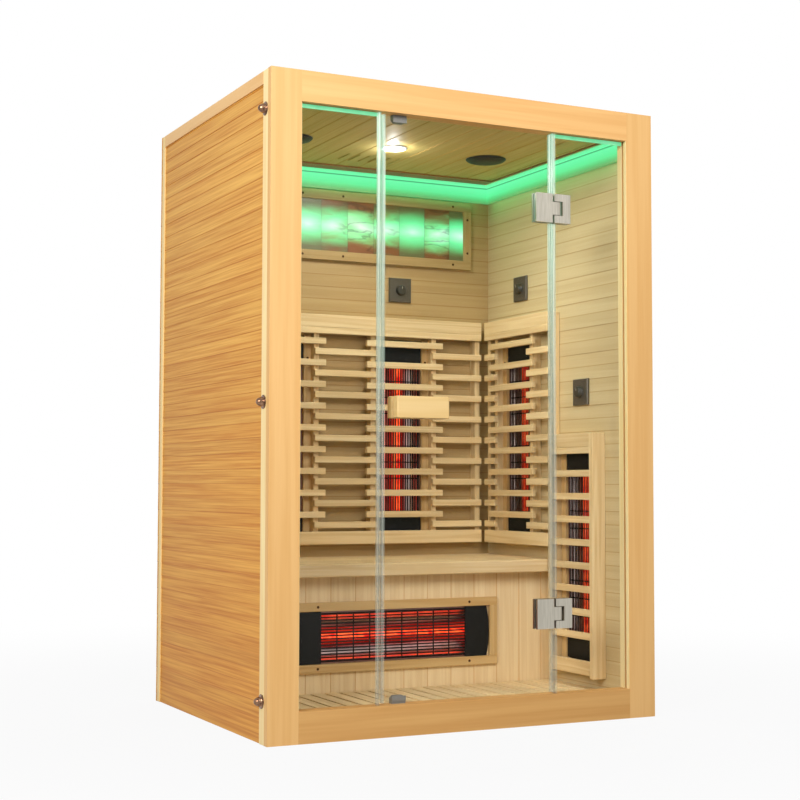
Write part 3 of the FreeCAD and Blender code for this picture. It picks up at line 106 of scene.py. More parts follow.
def wire(shader, **sources):
    """Link nodes, by their first output, to the named sockets of a shader."""
    for key, source in sources.items():
        shader.id_data.links.new(source.outputs[0], shader.inputs[key.replace("_", " ")])


def softwood(name, early, late, rings, roughness, along=None, boards=None, tone=0.16, shade=0.6,
             figure_share=0.45, fibre_length=0.24, fibre_range=(0.0, 1.0)):
    """Planed softwood. Growth rings are level lines of a noise drawn out along the grain, and fibres
    are a finer noise. Bars carry their own grain place and tone; panels take the grain from an axis,
    and with boards = (axis, pitch, first seam) each board has its own grain, tone and shaded seam."""
    material, tree, shader = finish(name, Roughness=roughness, IOR=1.5, Specular_IOR_Level=0.3)
    if along:
        split = put(tree, "SeparateXYZ", {"Vector": put(tree, "TexCoord").outputs["Object"]}).outputs
        first_across, last_across = [split[axis] for axis in "XYZ" if axis != along]
        place = put(tree, "CombineXYZ", {"X": split[along], "Y": first_across, "Z": last_across})
        own_tone = put(tree, "TexNoise", {"Vector": place, "Scale": TONES_PER_METRE, "Detail": 0.0})
    else:
        place = put(tree, "Attribute", attribute_name="grain").outputs["Vector"]
        own_tone = put(tree, "Attribute", attribute_name="tone").outputs["Fac"]
    if boards:
        axis, pitch, first = boards
        row = put(tree, "MapRange", {"Value": split[axis], "From Min": first, "From Max": first + pitch},
                  clamp=False)
        number = put(tree, "Math", {0: row}, operation="FLOOR")
        chance = put(tree, "TexWhiteNoise", {"W": number}, noise_dimensions="1D").outputs
        own_tone = chance["Value"]
        place = put(tree, "VectorMath", {0: chance["Color"], 1: (GRAIN_SHIFT,) * 3, 2: place},
                    operation="MULTIPLY_ADD")
        nearest = put(tree, "Math", {0: row, 1: 0.5}, operation="PINGPONG")
        seam = put(tree, "MapRange", {"Value": nearest, "From Min": SEAM_CORE / pitch,
                                      "From Max": SEAM_EDGE / pitch, "To Min": 1.0, "To Max": 0.0},
                   interpolation_type="SMOOTHSTEP")
    drawn = put(tree, "Mapping", {"Vector": place, "Scale": (1 / FIGURE_LENGTH, 1 / FIGURE_WIDTH,
                                                             1 / FIGURE_WIDTH)})
    figure = put(tree, "TexNoise", {"Vector": drawn, "Scale": 1.0, "Detail": 2.0, "Roughness": 0.45,
                                    "Distortion": 0.25})
    wave = put(tree, "Math", {0: figure, 1: 2 * math.pi * rings}, operation="MULTIPLY")
    ring = put(tree, "MapRange", {"Value": put(tree, "Math", {0: wave}, operation="SINE"),
                                  "From Min": -1.0, "From Max": 1.0})
    strands = put(tree, "Mapping", {"Vector": place, "Scale": (1 / fibre_length, 1 / FIBRE_WIDTH,
                                                               1 / FIBRE_WIDTH)})
    fibre = put(tree, "TexNoise", {"Vector": strands, "Scale": 1.0, "Detail": 3.0, "Roughness": 0.6})
    fibre = put(tree, "MapRange", {"Value": fibre, "From Min": fibre_range[0], "From Max": fibre_range[1],
                                   "To Max": 1 - figure_share})
    blend = put(tree, "Math", {0: ring, 1: figure_share, 2: fibre}, operation="MULTIPLY_ADD")
    wood = put(tree, "ValToRGB", {"Fac": blend}, stops=((0.2, early), (0.8, late)))
    value = put(tree, "MapRange", {"Value": own_tone, "To Min": 1 - tone / 2, "To Max": 1 + tone / 2})
    toned = put(tree, "HueSaturation", {"Color": wood, "Value": value})
    if boards:
        toned = put(tree, "MixRGB", {"Fac": seam, "Color1": toned, "Color2": (*(shade * SEAM_TINT), 1)},
                    blend_type="MULTIPLY")
    bump = put(tree, "Bump", {"Height": blend, "Strength": 0.12, "Distance": GRAIN_BUMP})
    wire(shader, Base_Color=toned, Normal=bump)
    return material


def dress(material, *names):
    """Give CAD nodes their finish."""
    for name in names:
        data = nodes[name].data
        data.materials.clear()
        data.materials.append(material)


def piece(name, vertices, faces, material, body, replaced=(), smooth=False):
    """Put a computed surface into the scene, on its body and in place of its CAD nodes."""
    mesh = bpy.data.meshes.new(name)
    mesh.from_pydata(vertices.reshape(-1, 3).tolist(), [], faces)
    mesh.materials.append(material)
    mesh.polygons.foreach_set("use_smooth", [smooth] * len(mesh.polygons))
    made = bpy.data.objects.new(name, mesh)
    bpy.context.scene.collection.objects.link(made)
    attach(made, body)
    if replaced:
        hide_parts(*replaced)
    return made


def ring_faces(copies, rings, points):
    """Faces of closed tubes: quads between each ring of points and the next, and a cap at each end."""
    start = np.arange(copies)[:, None, None] * rings * points
    here = start + np.arange(rings - 1)[:, None] * points + np.arange(points)
    following = start + np.arange(rings - 1)[:, None] * points + np.roll(np.arange(points), -1)
    quads = np.stack([here, following, following + points, here + points], axis=-1).reshape(-1, 4)
    first = start[:, 0] + np.arange(points)[::-1]
    last = start[:, 0] + (rings - 1) * points + np.arange(points)
    return quads.tolist() + first.tolist() + last.tolist()


def solid_corners(name, triangles=BOX_TRIANGLES):
    """Lowest and highest corner of each solid in a CAD node whose solids have so many triangles each."""
    data = nodes[name].data
    places = np.empty(3 * len(data.vertices))
    data.vertices.foreach_get("co", places)
    corners = np.empty(len(data.loops), dtype=int)
    data.loops.foreach_get("vertex_index", corners)
    solids = places.reshape(-1, 3)[corners].reshape(-1, 3 * triangles, 3)
    return solids.min(axis=1), solids.max(axis=1)


def bars(name, low, high, material, body, replaced=(), ease=EASED_EDGE):
    """Planed bars between pairs of corners: a rounded rectangle carried along each bar's longest side
    and drawn in at both ends. Each bar carries its own grain place and tone."""
    size = high - low
    order = (size.argmax(axis=1)[:, None] + np.arange(3)) % 3
    length, wide, deep = np.take_along_axis(size, order, axis=1).T[:, :, None, None]
    corner = np.repeat(np.arange(4), BAR_CORNER_STEPS)
    angle = (corner + np.tile(np.linspace(0, 1, BAR_CORNER_STEPS), 4)) * math.pi / 2
    side_a, side_b = np.array([1, -1, -1, 1])[corner], np.array([1, 1, -1, -1])[corner]
    curve = ease * np.array([END_ROUNDING, 1, 1, END_ROUNDING])[:, None]
    step = np.stack([0 * length, 0 * length + ease, length - ease, length], axis=1)[:, :, 0] - length / 2
    local = np.stack(np.broadcast_arrays(step,
                                         side_a * (wide / 2 - ease) + curve * np.cos(angle),
                                         side_b * (deep / 2 - ease) + curve * np.sin(angle)), axis=-1)
    turned_back = np.argsort(order, axis=1)[:, None, None, :]
    shape = np.take_along_axis(local, turned_back, axis=-1) + ((low + high) / 2)[:, None, None, :]
    made = piece(name, shape, ring_faces(len(low), 4, len(corner)), material, body, replaced)
    shift = random.uniform(0, GRAIN_SHIFT, (len(low), 1, 1, 3))
    grain = made.data.attributes.new("grain", "FLOAT_VECTOR", "POINT")
    grain.data.foreach_set("vector", (local + shift).ravel())
    tone = made.data.attributes.new("tone", "FLOAT", "POINT")
    tone.data.foreach_set("value", np.repeat(random.uniform(0, 1, len(low)), local[0, ..., 0].size))


def timber_bars(name, material):
    """Planed bars in place of every box of a CAD node."""
    bars(name + "_planed", *solid_corners(name), material, "cabin", (name,))


# Sanded spruce plywood: dull, brownish, hardly any sheen
plywood = softwood("spruce plywood, sanded", "#CFAB76", "#C09A62", rings=2, roughness=0.7, along="X")
# Hemlock slats, planed: pale straw with a slightly redder late wood
slat_hemlock = softwood("hemlock slats, planed", "#EED6A4", "#DEC08A", rings=4, roughness=0.6)
# Duckboard stock of the same wood, scrubbed paler underfoot
scrubbed = softwood("hemlock duckboard, scrubbed", "#F2DCAC", "#E4C894", rings=4, roughness=0.65)
dress(plywood, "floor_panel")
timber_bars("duckboard", scrubbed)

# Walls
# Each wall is a softwood frame with boards on both faces. The outer boards lie level and lap each other
# by a small step, the front stile and the top rail of the frame show, and the lining inside is paler.
BOARD_PITCH = 43.6 * MM
FIRST_SEAM = 26.4 * MM
LEVEL_BOARDS = ("Z", BOARD_PITCH, FIRST_SEAM)
FOOT_SHADE_HEIGHT = 1.5
# Oiled pine boards: warm orange with fine long streaks; oil gives a soft sheen
streaks = dict(rings=2, roughness=0.5, tone=0.08, figure_share=0.2, fibre_length=0.45,
               fibre_range=(0.24, 0.76))
outer_pine = softwood("pine boards, oiled", "#F0B856", "#CE8624", along="Y", boards=LEVEL_BOARDS,
                      shade=0.9, **streaks)
rear_pine = softwood("pine boards at the rear, oiled", "#F0B856", "#CE8624", along="X",
                     boards=("Z", 2 * BOARD_PITCH, FIRST_SEAM), shade=0.55, **streaks)
# Painted shade: towards the foot of the side walls the boards are drawn darker and redder, for the dimmer
# light low down
tree = outer_pine.node_tree
shader = tree.nodes["Principled BSDF"]
height = put(tree, "SeparateXYZ", {"Vector": put(tree, "TexCoord").outputs["Object"]}).outputs["Z"]
rise = put(tree, "MapRange", {"Value": height, "From Max": FOOT_SHADE_HEIGHT})
foot = put(tree, "ValToRGB", {"Fac": rise}, stops=((0.0, "#F8E8CC"), (1.0, "#FFFFFF")))
oiled = put(tree, "MixRGB", {"Fac": 1.0, "Color1": shader.inputs["Base Color"].links[0].from_socket,
                             "Color2": foot}, blend_type="MULTIPLY")
wire(shader, Base_Color=oiled)
# Unoiled hemlock lining: straw-coloured and matt, since a hot room must not have a varnish
matt = dict(boards=LEVEL_BOARDS, rings=2, roughness=0.6, tone=0.06, shade=0.78)
side_lining = softwood("hemlock lining, planed", "#DAC89A", "#D0BA8A", along="Y", **matt)
# Painted shade: the back lining is the side lining's hemlock drawn darker and browner, for the shade in the
# recess behind the slats
shaded_back_lining = softwood("hemlock back lining, planed", "#C0A470", "#B69864", along="X", **matt)
dress(outer_pine, "outer_boards_left", "outer_boards_right")
dress(rear_pine, "outer_boards_back")
dress(side_lining, "lining_left", "lining_right")
dress(shaded_back_lining, "lining_back")
# Oiled frame stock: honey-yellow, even and straight in the grain; redder in the side walls' top rails
frame_stock = softwood("pale frame stock, oiled", "#FFE6A8", "#F8D794", rings=3, roughness=0.45, tone=0.05)
rail_stock = softwood("red frame stock, oiled", "#F2C484", "#E6B470", rings=3, roughness=0.45, tone=0.05)
low, high = solid_corners("wall_frames")
runs_back = (high - low).argmax(axis=1) == 1
top_rail = runs_back & (high[:, 2] > high[:, 2].max() - MM)
bars("side_top_rails", low[top_rail], high[top_rail], rail_stock, "cabin", ("wall_frames",))
bars("wall_frames_planed", low[~top_rail], high[~top_rail], frame_stock, "cabin", ("wall_frames",))

# Front frame
# Two posts, a top rail and a sill of clear softwood, grooved for the glass and oiled to a honey colour.
# Grain runs up the posts and along the rails, and the sill is drawn browner than the rail.
clear = dict(rings=2, roughness=0.5, tone=0.05)
# Clear softwood, oiled: an even honey colour without knots, with a silky sheen
post_wood = softwood("clear softwood posts, oiled", "#EBBB79", "#E3AF6B", along="Z", **clear)
rail_wood = softwood("clear softwood rails, oiled", "#EFBD7A", "#E6AF6B", along="X", **clear)
sill_wood = softwood("brown softwood sill, oiled", "#DAA866", "#CF9A58", along="X", **clear)
dress(post_wood, "front_post_left", "front_post_right")
dress(rail_wood, "front_top_rail")
dress(sill_wood, "front_sill")

# Dome nuts
# Six turned nuts of bronzed steel, each a flange with a dome, draw the side walls to the posts; the bolts
# that they screw onto are hidden in the posts.
NUT_HEIGHT = 22 * MM
NUT_SEGMENTS = 40
NUT_PROFILE = np.array([(20, 0), (20, 1.2), (19.2, 2), (16, 2), (13.9, 2.6), (13.4, 8), (11.6, 13.4),
                        (9.4, 17), (6.8, 20), (4, 21.6), (1, 22)]) * MM


def spun(profile, centres, axis, segments, flutes=0, flute_depth=0.0):
    """Turned pieces: a (radius, height) profile turned about an axis at each centre. Flutes ripple the
    radius by a cosine of the turning angle."""
    angle = np.arange(segments) * 2 * math.pi / segments
    axis = np.asarray(axis, dtype=float)
    right = np.roll(axis, 1)
    up = np.cross(axis, right)
    radius = profile[:, 0, None] * (1 + flute_depth * np.cos(flutes * angle))
    around = radius[..., None] * (np.cos(angle)[:, None] * right + np.sin(angle)[:, None] * up)
    one = around + profile[:, 1, None, None] * axis
    shape = np.asarray(centres, dtype=float).reshape(-1, 1, 1, 3) + one
    return shape, ring_faces(len(shape), len(profile), segments)


def gathered(*parts):
    """Several computed surfaces as one: their corners in a row, and their faces counted on."""
    corners = [shape.reshape(-1, 3) for shape, _ in parts]
    starts = np.cumsum([0] + [len(block) for block in corners[:-1]])
    faces = [[corner + start for corner in face]
             for (_, block), start in zip(parts, starts) for face in block]
    return np.concatenate(corners), faces


def mottled(name, dark, pale, grain, detail=2.0, span=(0.0, 1.0), gloss=None, **sockets):
    """A finish that wanders between two tones by a noise of some grain size. With gloss = (least, most)
    its roughness follows the same noise."""
    material, tree, shader = finish(name, **sockets)
    noise = put(tree, "TexNoise", {"Vector": put(tree, "TexCoord").outputs["Object"], "Scale": 1 / grain,
                                   "Detail": detail})
    tones = put(tree, "ValToRGB", {"Fac": noise}, stops=((span[0], dark), (span[1], pale)))
    wire(shader, Base_Color=tones)
    if gloss:
        sheen = put(tree, "MapRange", {"Value": noise, "To Min": gloss[0], "To Max": gloss[1]})
        wire(shader, Roughness=sheen)
    return material


# Bronzed steel: dark brown metal that shines on the rim where the finish is rubbed
bronze = mottled("bronzed steel, rubbed", "#5E4130", "#A98468", 9 * MM, 3.0, (0.35, 0.75), (0.12, 0.3),
                 Metallic=1.0)
nut_low, nut_high = np.array(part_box("corner_bolts"))
nut_y = (nut_low[1] + nut_high[1]) / 2
flange_r = (nut_high[1] - nut_low[1]) / 2
nut_heights = (nut_low[2] + flange_r, (nut_low[2] + nut_high[2]) / 2, nut_high[2] - flange_r)
nuts = []
for side, tip in ((-1, nut_low[0]), (1, nut_high[0])):
    spots = [(tip - side * NUT_HEIGHT, nut_y, height) for height in nut_heights]
    nuts.append(spun(NUT_PROFILE, spots, (side, 0, 0), NUT_SEGMENTS))
piece("dome_nuts", *gathered(*nuts), bronze, "cabin", ("corner_bolts",), smooth=True)

# Glass
# Two fixed panes and the door are 8 mm toughened float glass, set in the grooves or hung on the hinges.
# Soft clear strips are pushed over the upright edges and seal the gaps at the door.
DRAW_LINE = 2 * MM
DRAW_LENGTH = 0.4
BEAD = 2 * MM
BEAD_GAP = 1 * MM
BEAD_EASE = 0.5 * MM
STRIP_DEPTH = 6 * MM
STRIP_HEIGHT = 11 * MM
STRIP_EASE = 0.8 * MM
STRIP_PATCH = 60 * MM
# Float glass: nearly clear face on, greener and more mirror-like at a slant
glass, tree, shader = finish("toughened float glass", Base_Color=linear("#2C4A3E"), Roughness=0.03,
                             IOR=1.52)
slant = put(tree, "LayerWeight", {"Blend": 0.15}).outputs["Facing"]
veil = put(tree, "MapRange", {"Value": slant, "To Min": 0.012, "To Max": 0.4},
           interpolation_type="SMOOTHSTEP")
wire(shader, Alpha=veil)
dress(glass, "fixed_pane_left", "fixed_pane_right", "door_pane")
# Clear soft PVC, extruded: milky along its edges, with fine draw lines up its length; its upper part
# pipes the green light of the room
seal, tree, shader = finish("clear soft PVC, extruded", Roughness=0.22, IOR=1.53, Specular_IOR_Level=0.3)
place = put(tree, "TexCoord").outputs["Object"]
drawn = put(tree, "Mapping", {"Vector": place, "Scale": (1 / DRAW_LINE, 1 / DRAW_LINE, 1 / DRAW_LENGTH)})
lines = put(tree, "TexNoise", {"Vector": drawn, "Scale": 1.0, "Detail": 2.0})
height = put(tree, "SeparateXYZ", {"Vector": place}).outputs["Z"]
milky = put(tree, "MapRange", {"Value": height, "From Min": 0.3, "From Max": 1.6, "To Min": 0.2,
                               "To Max": 0.42})
caught = put(tree, "MapRange", {"Value": height, "From Min": 0.8, "From Max": 1.75})
wire(shader, Alpha=milky,
     Base_Color=put(tree, "ValToRGB", {"Fac": lines}, stops=((0.4, "#869080"), (0.6, "#E4E8DA"))),
     Emission_Color=put(tree, "ValToRGB", {"Fac": lines}, stops=((0.4, "#3A8A6C"), (0.6, "#C8F4E0"))),
     Emission_Strength=put(tree, "Math", {0: caught, 1: 0.65}, operation="MULTIPLY"))
dress(seal, "pane_seals", "door_seals")
# Beads line the reveals of the posts in front of and behind the fixed panes; their paleness is painted light
# on the reveals, lit from the left
post_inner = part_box("front_post_right")[0][0]
(_, pane_front, _), (_, pane_rear, _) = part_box("fixed_pane_left")
(_, post_front, _), (_, post_rear, _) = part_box("front_post_right")
sill_top, rail_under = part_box("front_sill")[1][2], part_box("front_top_rail")[0][2]
bead_wood = softwood("pale hemlock beads, planed", "#FBE7AE", "#F4DA98", rings=3, roughness=0.5)
spans = [(post_front + BEAD, pane_front - BEAD_GAP), (pane_rear + BEAD_GAP, post_rear - BEAD_GAP)]
low = np.array([(x, near, sill_top) for x in (-post_inner, post_inner - BEAD) for near, _ in spans])
high = np.array([(x, far, rail_under) for x in (BEAD - post_inner, post_inner) for _, far in spans])
bars("glazing_beads", low, high, bead_wood, "cabin", ease=BEAD_EASE)
# Clear wedge strips press the top of each fixed pane: they glow in green patches
wedge, tree, shader = finish("clear PVC wedge strip, extruded", Base_Color=linear("#5A8A6C"), Roughness=0.25,
                             Emission_Strength=0.9)
patches = put(tree, "TexNoise", {"Vector": put(tree, "TexCoord").outputs["Object"], "Scale": 1 / STRIP_PATCH})
wire(shader, Emission_Color=put(tree, "ValToRGB", {"Fac": patches},
                                stops=((0.0, "#3CB878"), (1.0, "#8CF0B4"))))
left_edge, right_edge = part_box("fixed_pane_left")[1][0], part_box("fixed_pane_right")[0][0]
spans = ((BEAD - post_inner, left_edge), (right_edge, post_inner - BEAD))
low = np.array([(start, pane_rear + BEAD_GAP, rail_under - STRIP_HEIGHT) for start, _ in spans])
high = np.array([(end, pane_rear + BEAD_GAP + STRIP_DEPTH, rail_under) for _, end in spans])
bars("wedge_strips", low, high, wedge, "cabin", ease=STRIP_EASE)

# Hinges
# Two clamp hinges of brushed steel grip the door and the right pane over thin gaskets. The screws that
# draw each pair of plates together are countersunk in the inner plates.
HINGE_HALF = 45 * MM
FIXED_PLATE_X = 326 * MM
DOOR_SCREW_IN = 22 * MM
INNER_FACE_Y = -470 * MM
SCREW_SPREAD = 28 * MM
SCREW_SEGMENTS = 12
SCREW_PROFILE = np.array([(4.4, -0.6), (4.4, 0.5), (3.4, 1.1), (1.6, 1.2), (1.2, 0.4)]) * MM
STROKE_WIDTH = 0.7 * MM


def brushed(name, dark, pale, along, stroke=0.06):
    """Brushed steel: a noise drawn out along the brush strokes tints the metal and its gloss."""
    material, tree, shader = finish(name, Metallic=1.0, Anisotropic=0.4)
    scale = [1 / (stroke if axis == along else STROKE_WIDTH) for axis in "XYZ"]
    drawn = put(tree, "Mapping", {"Vector": put(tree, "TexCoord").outputs["Object"], "Scale": scale})
    strokes = put(tree, "TexNoise", {"Vector": drawn, "Scale": 1.0, "Detail": 2.0})
    wire(shader, Base_Color=put(tree, "ValToRGB", {"Fac": strokes}, stops=((0.3, dark), (0.7, pale))),
         Roughness=put(tree, "MapRange", {"Value": strokes, "To Min": 0.28, "To Max": 0.44}))
    return material


# Brushed stainless steel: warm grey with upright strokes; turned pins and screws are a cooler grey
hinge_steel = brushed("brushed stainless steel", "#9E988A", "#C6C0B2", "Z")
bright_steel = brushed("turned bright steel", "#9A9A94", "#C4C4BE", "X", stroke=0.01)
dress(hinge_steel, "hinge_fixed_clamps", "hinge_door_clamps")
dress(bright_steel, "hinge_pins", "handle_bolts")
for node, body in (("hinge_fixed_clamps", "cabin"), ("hinge_door_clamps", "door")):
    low, high = np.array(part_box(node))
    x = (max(low[0], FIXED_PLATE_X) + high[0]) / 2 if body == "cabin" else low[0] + DOOR_SCREW_IN
    spots = [(x, INNER_FACE_Y, middle + way * SCREW_SPREAD)
             for middle in (low[2] + HINGE_HALF, high[2] - HINGE_HALF) for way in (-1, 1)]
    piece(node + "_screws", *spun(SCREW_PROFILE, spots, (0, 1, 0), SCREW_SEGMENTS), bright_steel, body,
          smooth=True)

# Door handle and catches
# A planed pale block on each face of the door, drawn together by two hidden bolts. Grey nylon magnet
# catches under the top rail and on the sill hold steel strikes on the glass.
HANDLE_EASE = 2.5 * MM
# Sanded hemlock: pale honey, soft and even
handle_wood = softwood("pale hemlock handle, sanded", "#E9C88B", "#E1BC7B", rings=3, roughness=0.5)
for node in ("handle_outer", "handle_inner"):
    low, high = np.array(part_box(node))
    bars(node + "_block", low[None], high[None], handle_wood, "door", (node,), HANDLE_EASE)
# Moulded grey nylon: satin, faintly mottled
nylon = mottled("grey nylon, moulded", "#6E6C66", "#8A8880", 3 * MM, 4.0, Roughness=0.42, IOR=1.53)
dress(nylon, "magnet_catches", "strike_plates")

# Ceiling and roof
# Narrow boards run from front to back under the joists, slotted for the vent, whose shutter slides above.
# A thin bead is pinned along the edge; its brown is painted shade where the cove throws no green light. A
# flat cover closes the roof over the power unit.
CORNICE_WIDTH = 8 * MM
REAR_CORNICE = 62 * MM
CORNICE_DEPTH = 4 * MM
CORNICE_EASE = 0.8 * MM
CORNICE_FROM_WALL = 32 * MM
SKIN_BUMP = 0.1 * MM


def skinned(name, colour, roughness, grain, strength):
    """A coated or moulded finish: one colour, with a fine noise of some grain size as its bump."""
    material, tree, shader = finish(name, Base_Color=linear(colour), Roughness=roughness)
    noise = put(tree, "TexNoise", {"Vector": put(tree, "TexCoord").outputs["Object"], "Scale": 1 / grain})
    wire(shader, Normal=put(tree, "Bump", {"Height": noise, "Strength": strength, "Distance": SKIN_BUMP}))
    return material


ceiling_low = np.array(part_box("ceiling_panel"))[0]
# Planed hemlock overhead with faint seams; its straw is tinted green as painted light from the cove lamps
ceiling_boards = softwood("hemlock ceiling boards, planed", "#DAC682", "#CEBA74", rings=4, roughness=0.6,
                          along="Y", boards=("X", BOARD_PITCH, ceiling_low[0] + FIRST_SEAM), tone=0.03,
                          shade=0.93)
dress(ceiling_boards, "ceiling_panel", "vent_shutter")
# Planed pine bead, drawn brown: painted shade along the ceiling's edge, where the cove throws no green light
shaded_cornice_wood = softwood("pine bead, shaded brown", "#B0764A", "#98603A", rings=3, roughness=0.55)
room_left, room_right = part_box("lining_left")[1][0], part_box("lining_right")[0][0]
room_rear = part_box("lining_back")[0][1]
left, right = room_left + CORNICE_FROM_WALL, room_right - CORNICE_FROM_WALL
front, rear = ceiling_low[1] + EASED_EDGE, room_rear - CORNICE_FROM_WALL
under, over = ceiling_low[2] - CORNICE_DEPTH, ceiling_low[2]
low = np.array([(left, rear - REAR_CORNICE, under), (left, front, under),
                (right - CORNICE_WIDTH, front, under)])
high = np.array([(right, rear, over), (left + CORNICE_WIDTH, rear - REAR_CORNICE, over),
                 (right, rear - REAR_CORNICE, over)])
bars("ceiling_bead", low, high, shaded_cornice_wood, "cabin", ease=CORNICE_EASE)
# Sawn spruce: rough and brownish
rough_spruce = softwood("spruce battens, sawn", "#C9A878", "#A98654", rings=4, roughness=0.75)
timber_bars("roof_joists", rough_spruce)
dress(plywood, "roof_cover")
# Powder-coated steel: even grey with a fine orange-peel bump
dress(skinned("grey powder coat", "#6E7072", 0.5, 1.5 * MM, 0.2), "power_unit")
# Moulded black nylon: near black, satin, with a light mould texture
dress(skinned("black nylon, moulded", "#1E1E1D", 0.45, 1 * MM, 0.15), "cable_gland")

# Ceiling speakers, downlight and cove light
# Each speaker shows a domed cover of black perforated steel. The downlight is a turned ring with a frosted
# lens. An opal strip under the ceiling on three walls glows green.
SPEAKER_PROFILE = np.array([(69, 0), (69, 1.6), (67, 3.4), (62, 7.6), (52, 10.6), (41, 12.4), (24, 12.8),
                            (6, 13)]) * MM
RING_PROFILE = np.array([(44, 0), (44, 2), (42.5, 3.6), (40, 4), (37, 3.4), (34.5, 1.2), (34, 0.6),
                         (30, 0.5)]) * MM
LENS_PROFILE = np.array([(34, 0.2), (33.5, 1.4), (28, 2.3), (16, 2.9), (3, 3)]) * MM
SPEAKER_X = 360 * MM
SPEAKER_Y = 50 * MM
LAMP_Y = 35 * MM
LENS_FADE = 36 * MM
FLOOD_START, FLOOD_END = 34 * MM, 46 * MM
ROUND_SEGMENTS = 48
HOLE_PITCH = 7 * MM
down = (0, 0, -1)
# Perforated steel, black: rows of small holes, drawn coarser than real so that they show
perforated, tree, shader = finish("perforated black steel", Metallic=0.4, Roughness=0.5)
holes = put(tree, "TexVoronoi", {"Vector": put(tree, "TexCoord").outputs["Object"],
                                 "Scale": 1 / HOLE_PITCH, "Randomness": 0.0})
wire(shader, Base_Color=put(tree, "ValToRGB", {"Fac": holes}, stops=((0.3, "#0A0A0A"), (0.38, "#3A3A38"))))
speaker_spots = [(side * SPEAKER_X, SPEAKER_Y, ceiling_low[2]) for side in (-1, 1)]
piece("speaker_covers", *spun(SPEAKER_PROFILE, speaker_spots, down, ROUND_SEGMENTS), perforated, "cabin",
      ("ceiling_speakers",), smooth=True)
lamp_spot = (0, LAMP_Y, ceiling_low[2])
# Frosted lens: cool white light, brightest in the middle where the lamp sits
frosted, tree, shader = finish("frosted lens, lit", Base_Color=linear("#F4F8FF"), Roughness=0.4,
                               Emission_Strength=9.0)
far = put(tree, "VectorMath", {0: put(tree, "TexCoord").outputs["Object"], 1: lamp_spot},
          operation="DISTANCE").outputs["Value"]
fade = put(tree, "MapRange", {"Value": far, "From Max": LENS_FADE})
wire(shader, Emission_Color=put(tree, "ValToRGB", {"Fac": fade}, stops=((0.0, "#FFFFFF"), (1.0, "#C8D8F0"))))
# White enamel on the ring: the lens floods it, less towards its outer edge
ring_enamel, tree, shader = finish("white enamelled ring, lit", Base_Color=linear("#F4F6FA"), Roughness=0.3,
                                   Emission_Color=linear("#F0F6FF"))
far = put(tree, "VectorMath", {0: put(tree, "TexCoord").outputs["Object"], 1: lamp_spot},
          operation="DISTANCE").outputs["Value"]
wire(shader, Emission_Strength=put(tree, "MapRange", {"Value": far, "From Min": FLOOD_START,
                                                      "From Max": FLOOD_END, "To Min": 0.9, "To Max": 0.4}))
piece("downlight_ring", *spun(RING_PROFILE, [lamp_spot], down, ROUND_SEGMENTS), ring_enamel, "cabin",
      ("ceiling_lamp",), smooth=True)
piece("downlight_lens", *spun(LENS_PROFILE, [lamp_spot], down, ROUND_SEGMENTS), frosted, "cabin", smooth=True)
# Opal acrylic over a green lamp: mint below the lip line, fading into the wall's straw colour lower down
cove_low, cove_high = np.array(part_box("cove_lights"))
opal, tree, shader = finish("opal acrylic, lit green", Roughness=0.5, Emission_Strength=1.0)
height = put(tree, "SeparateXYZ", {"Vector": put(tree, "TexCoord").outputs["Object"]}).outputs["Z"]
rise = put(tree, "MapRange", {"Value": height, "From Min": cove_low[2], "From Max": cove_high[2]})
wire(shader,
     Base_Color=put(tree, "ValToRGB", {"Fac": rise},
                    stops=((0.0, "#93A068"), (0.4, "#4E6844"), (1.0, "#2A4A34"))),
     Emission_Color=put(tree, "ValToRGB", {"Fac": rise},
                        stops=((0.0, "#3E9258"), (0.16, "#3CC074"), (0.36, "#58EC98"), (0.74, "#6CFCB0"),
                               (0.8, "#2E9A58"), (0.85, "#6CF8AC"), (1.0, "#70F0A4"))))
dress(opal, "cove_lights")

# Bench
# Five planed seat boards and a rounded nosing rest on bearers; a boarded apron closes the front under the
# seat, with its boards upright.
SEAT_STEP = 93.8 * MM
NOSING_DEPTH = 18 * MM
seat_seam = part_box("bench_seat")[0][1] + NOSING_DEPTH
# Planed hemlock: creamy boards, with seams that show
seat_boards = softwood("hemlock seat boards, planed", "#EFD6A6", "#E2C48E", rings=4, roughness=0.5,
                       along="X", boards=("Y", SEAT_STEP, seat_seam), tone=0.08)
# Painted light: the apron boards are the seat's hemlock drawn paler, for the light that falls on the front
# under the seat
apron_boards = softwood("hemlock apron boards, planed", "#F7E0B2", "#ECD09E", rings=4, roughness=0.55,
                        along="Z", boards=("X", 2 * BOARD_PITCH, room_left + FIRST_SEAM), tone=0.08,
                        shade=0.84)
dress(seat_boards, "bench_seat")
dress(apron_boards, "bench_apron")
timber_bars("bench_bearers", rough_spruce)

# Tube heaters
# Seven alike: a bright folded reflector holds a glowing quartz tube behind a grille of black wires. Black
# enamelled caps cover both ends, and a planed surround is screwed to the boards.
TUBE_TRIANGLES = 28
TUBE_R, TUBE_TIP_R = 9 * MM, 6 * MM
TUBE_TIP = 3 * MM
TUBE_SEGMENTS = 20
COIL_PATCH = 25 * MM
TROUGH_HALF = 74 * MM
TROUGH_DEPTH = 28 * MM
TROUGH_STEPS = 25
TUBE_SET_IN = 14 * MM
STREAKS_ACROSS, STREAKS_PER_METRE, STREAK_SHIFT = 7.0, 3.0, 5.0
SIDE_HEATER_X = 590 * MM
SCREWED_LENGTH = 300 * MM
SCREW_REACH = 0.36
# Folded aluminium tray, polished: reddened by the tube's light, with soft lengthwise roll marks
dress(brushed("polished aluminium tray", "#6A4A42", "#8E6A5E", "Z", stroke=0.2), "heater_trays")
# Black enamelled wire and caps: deep black with a satin shine
enamel = mottled("black stove enamel", "#070707", "#141312", 14 * MM, 3.0, Roughness=0.55, IOR=1.5,
                 Specular_IOR_Level=0.25)
dress(enamel, "heater_grilles", "heater_end_caps")
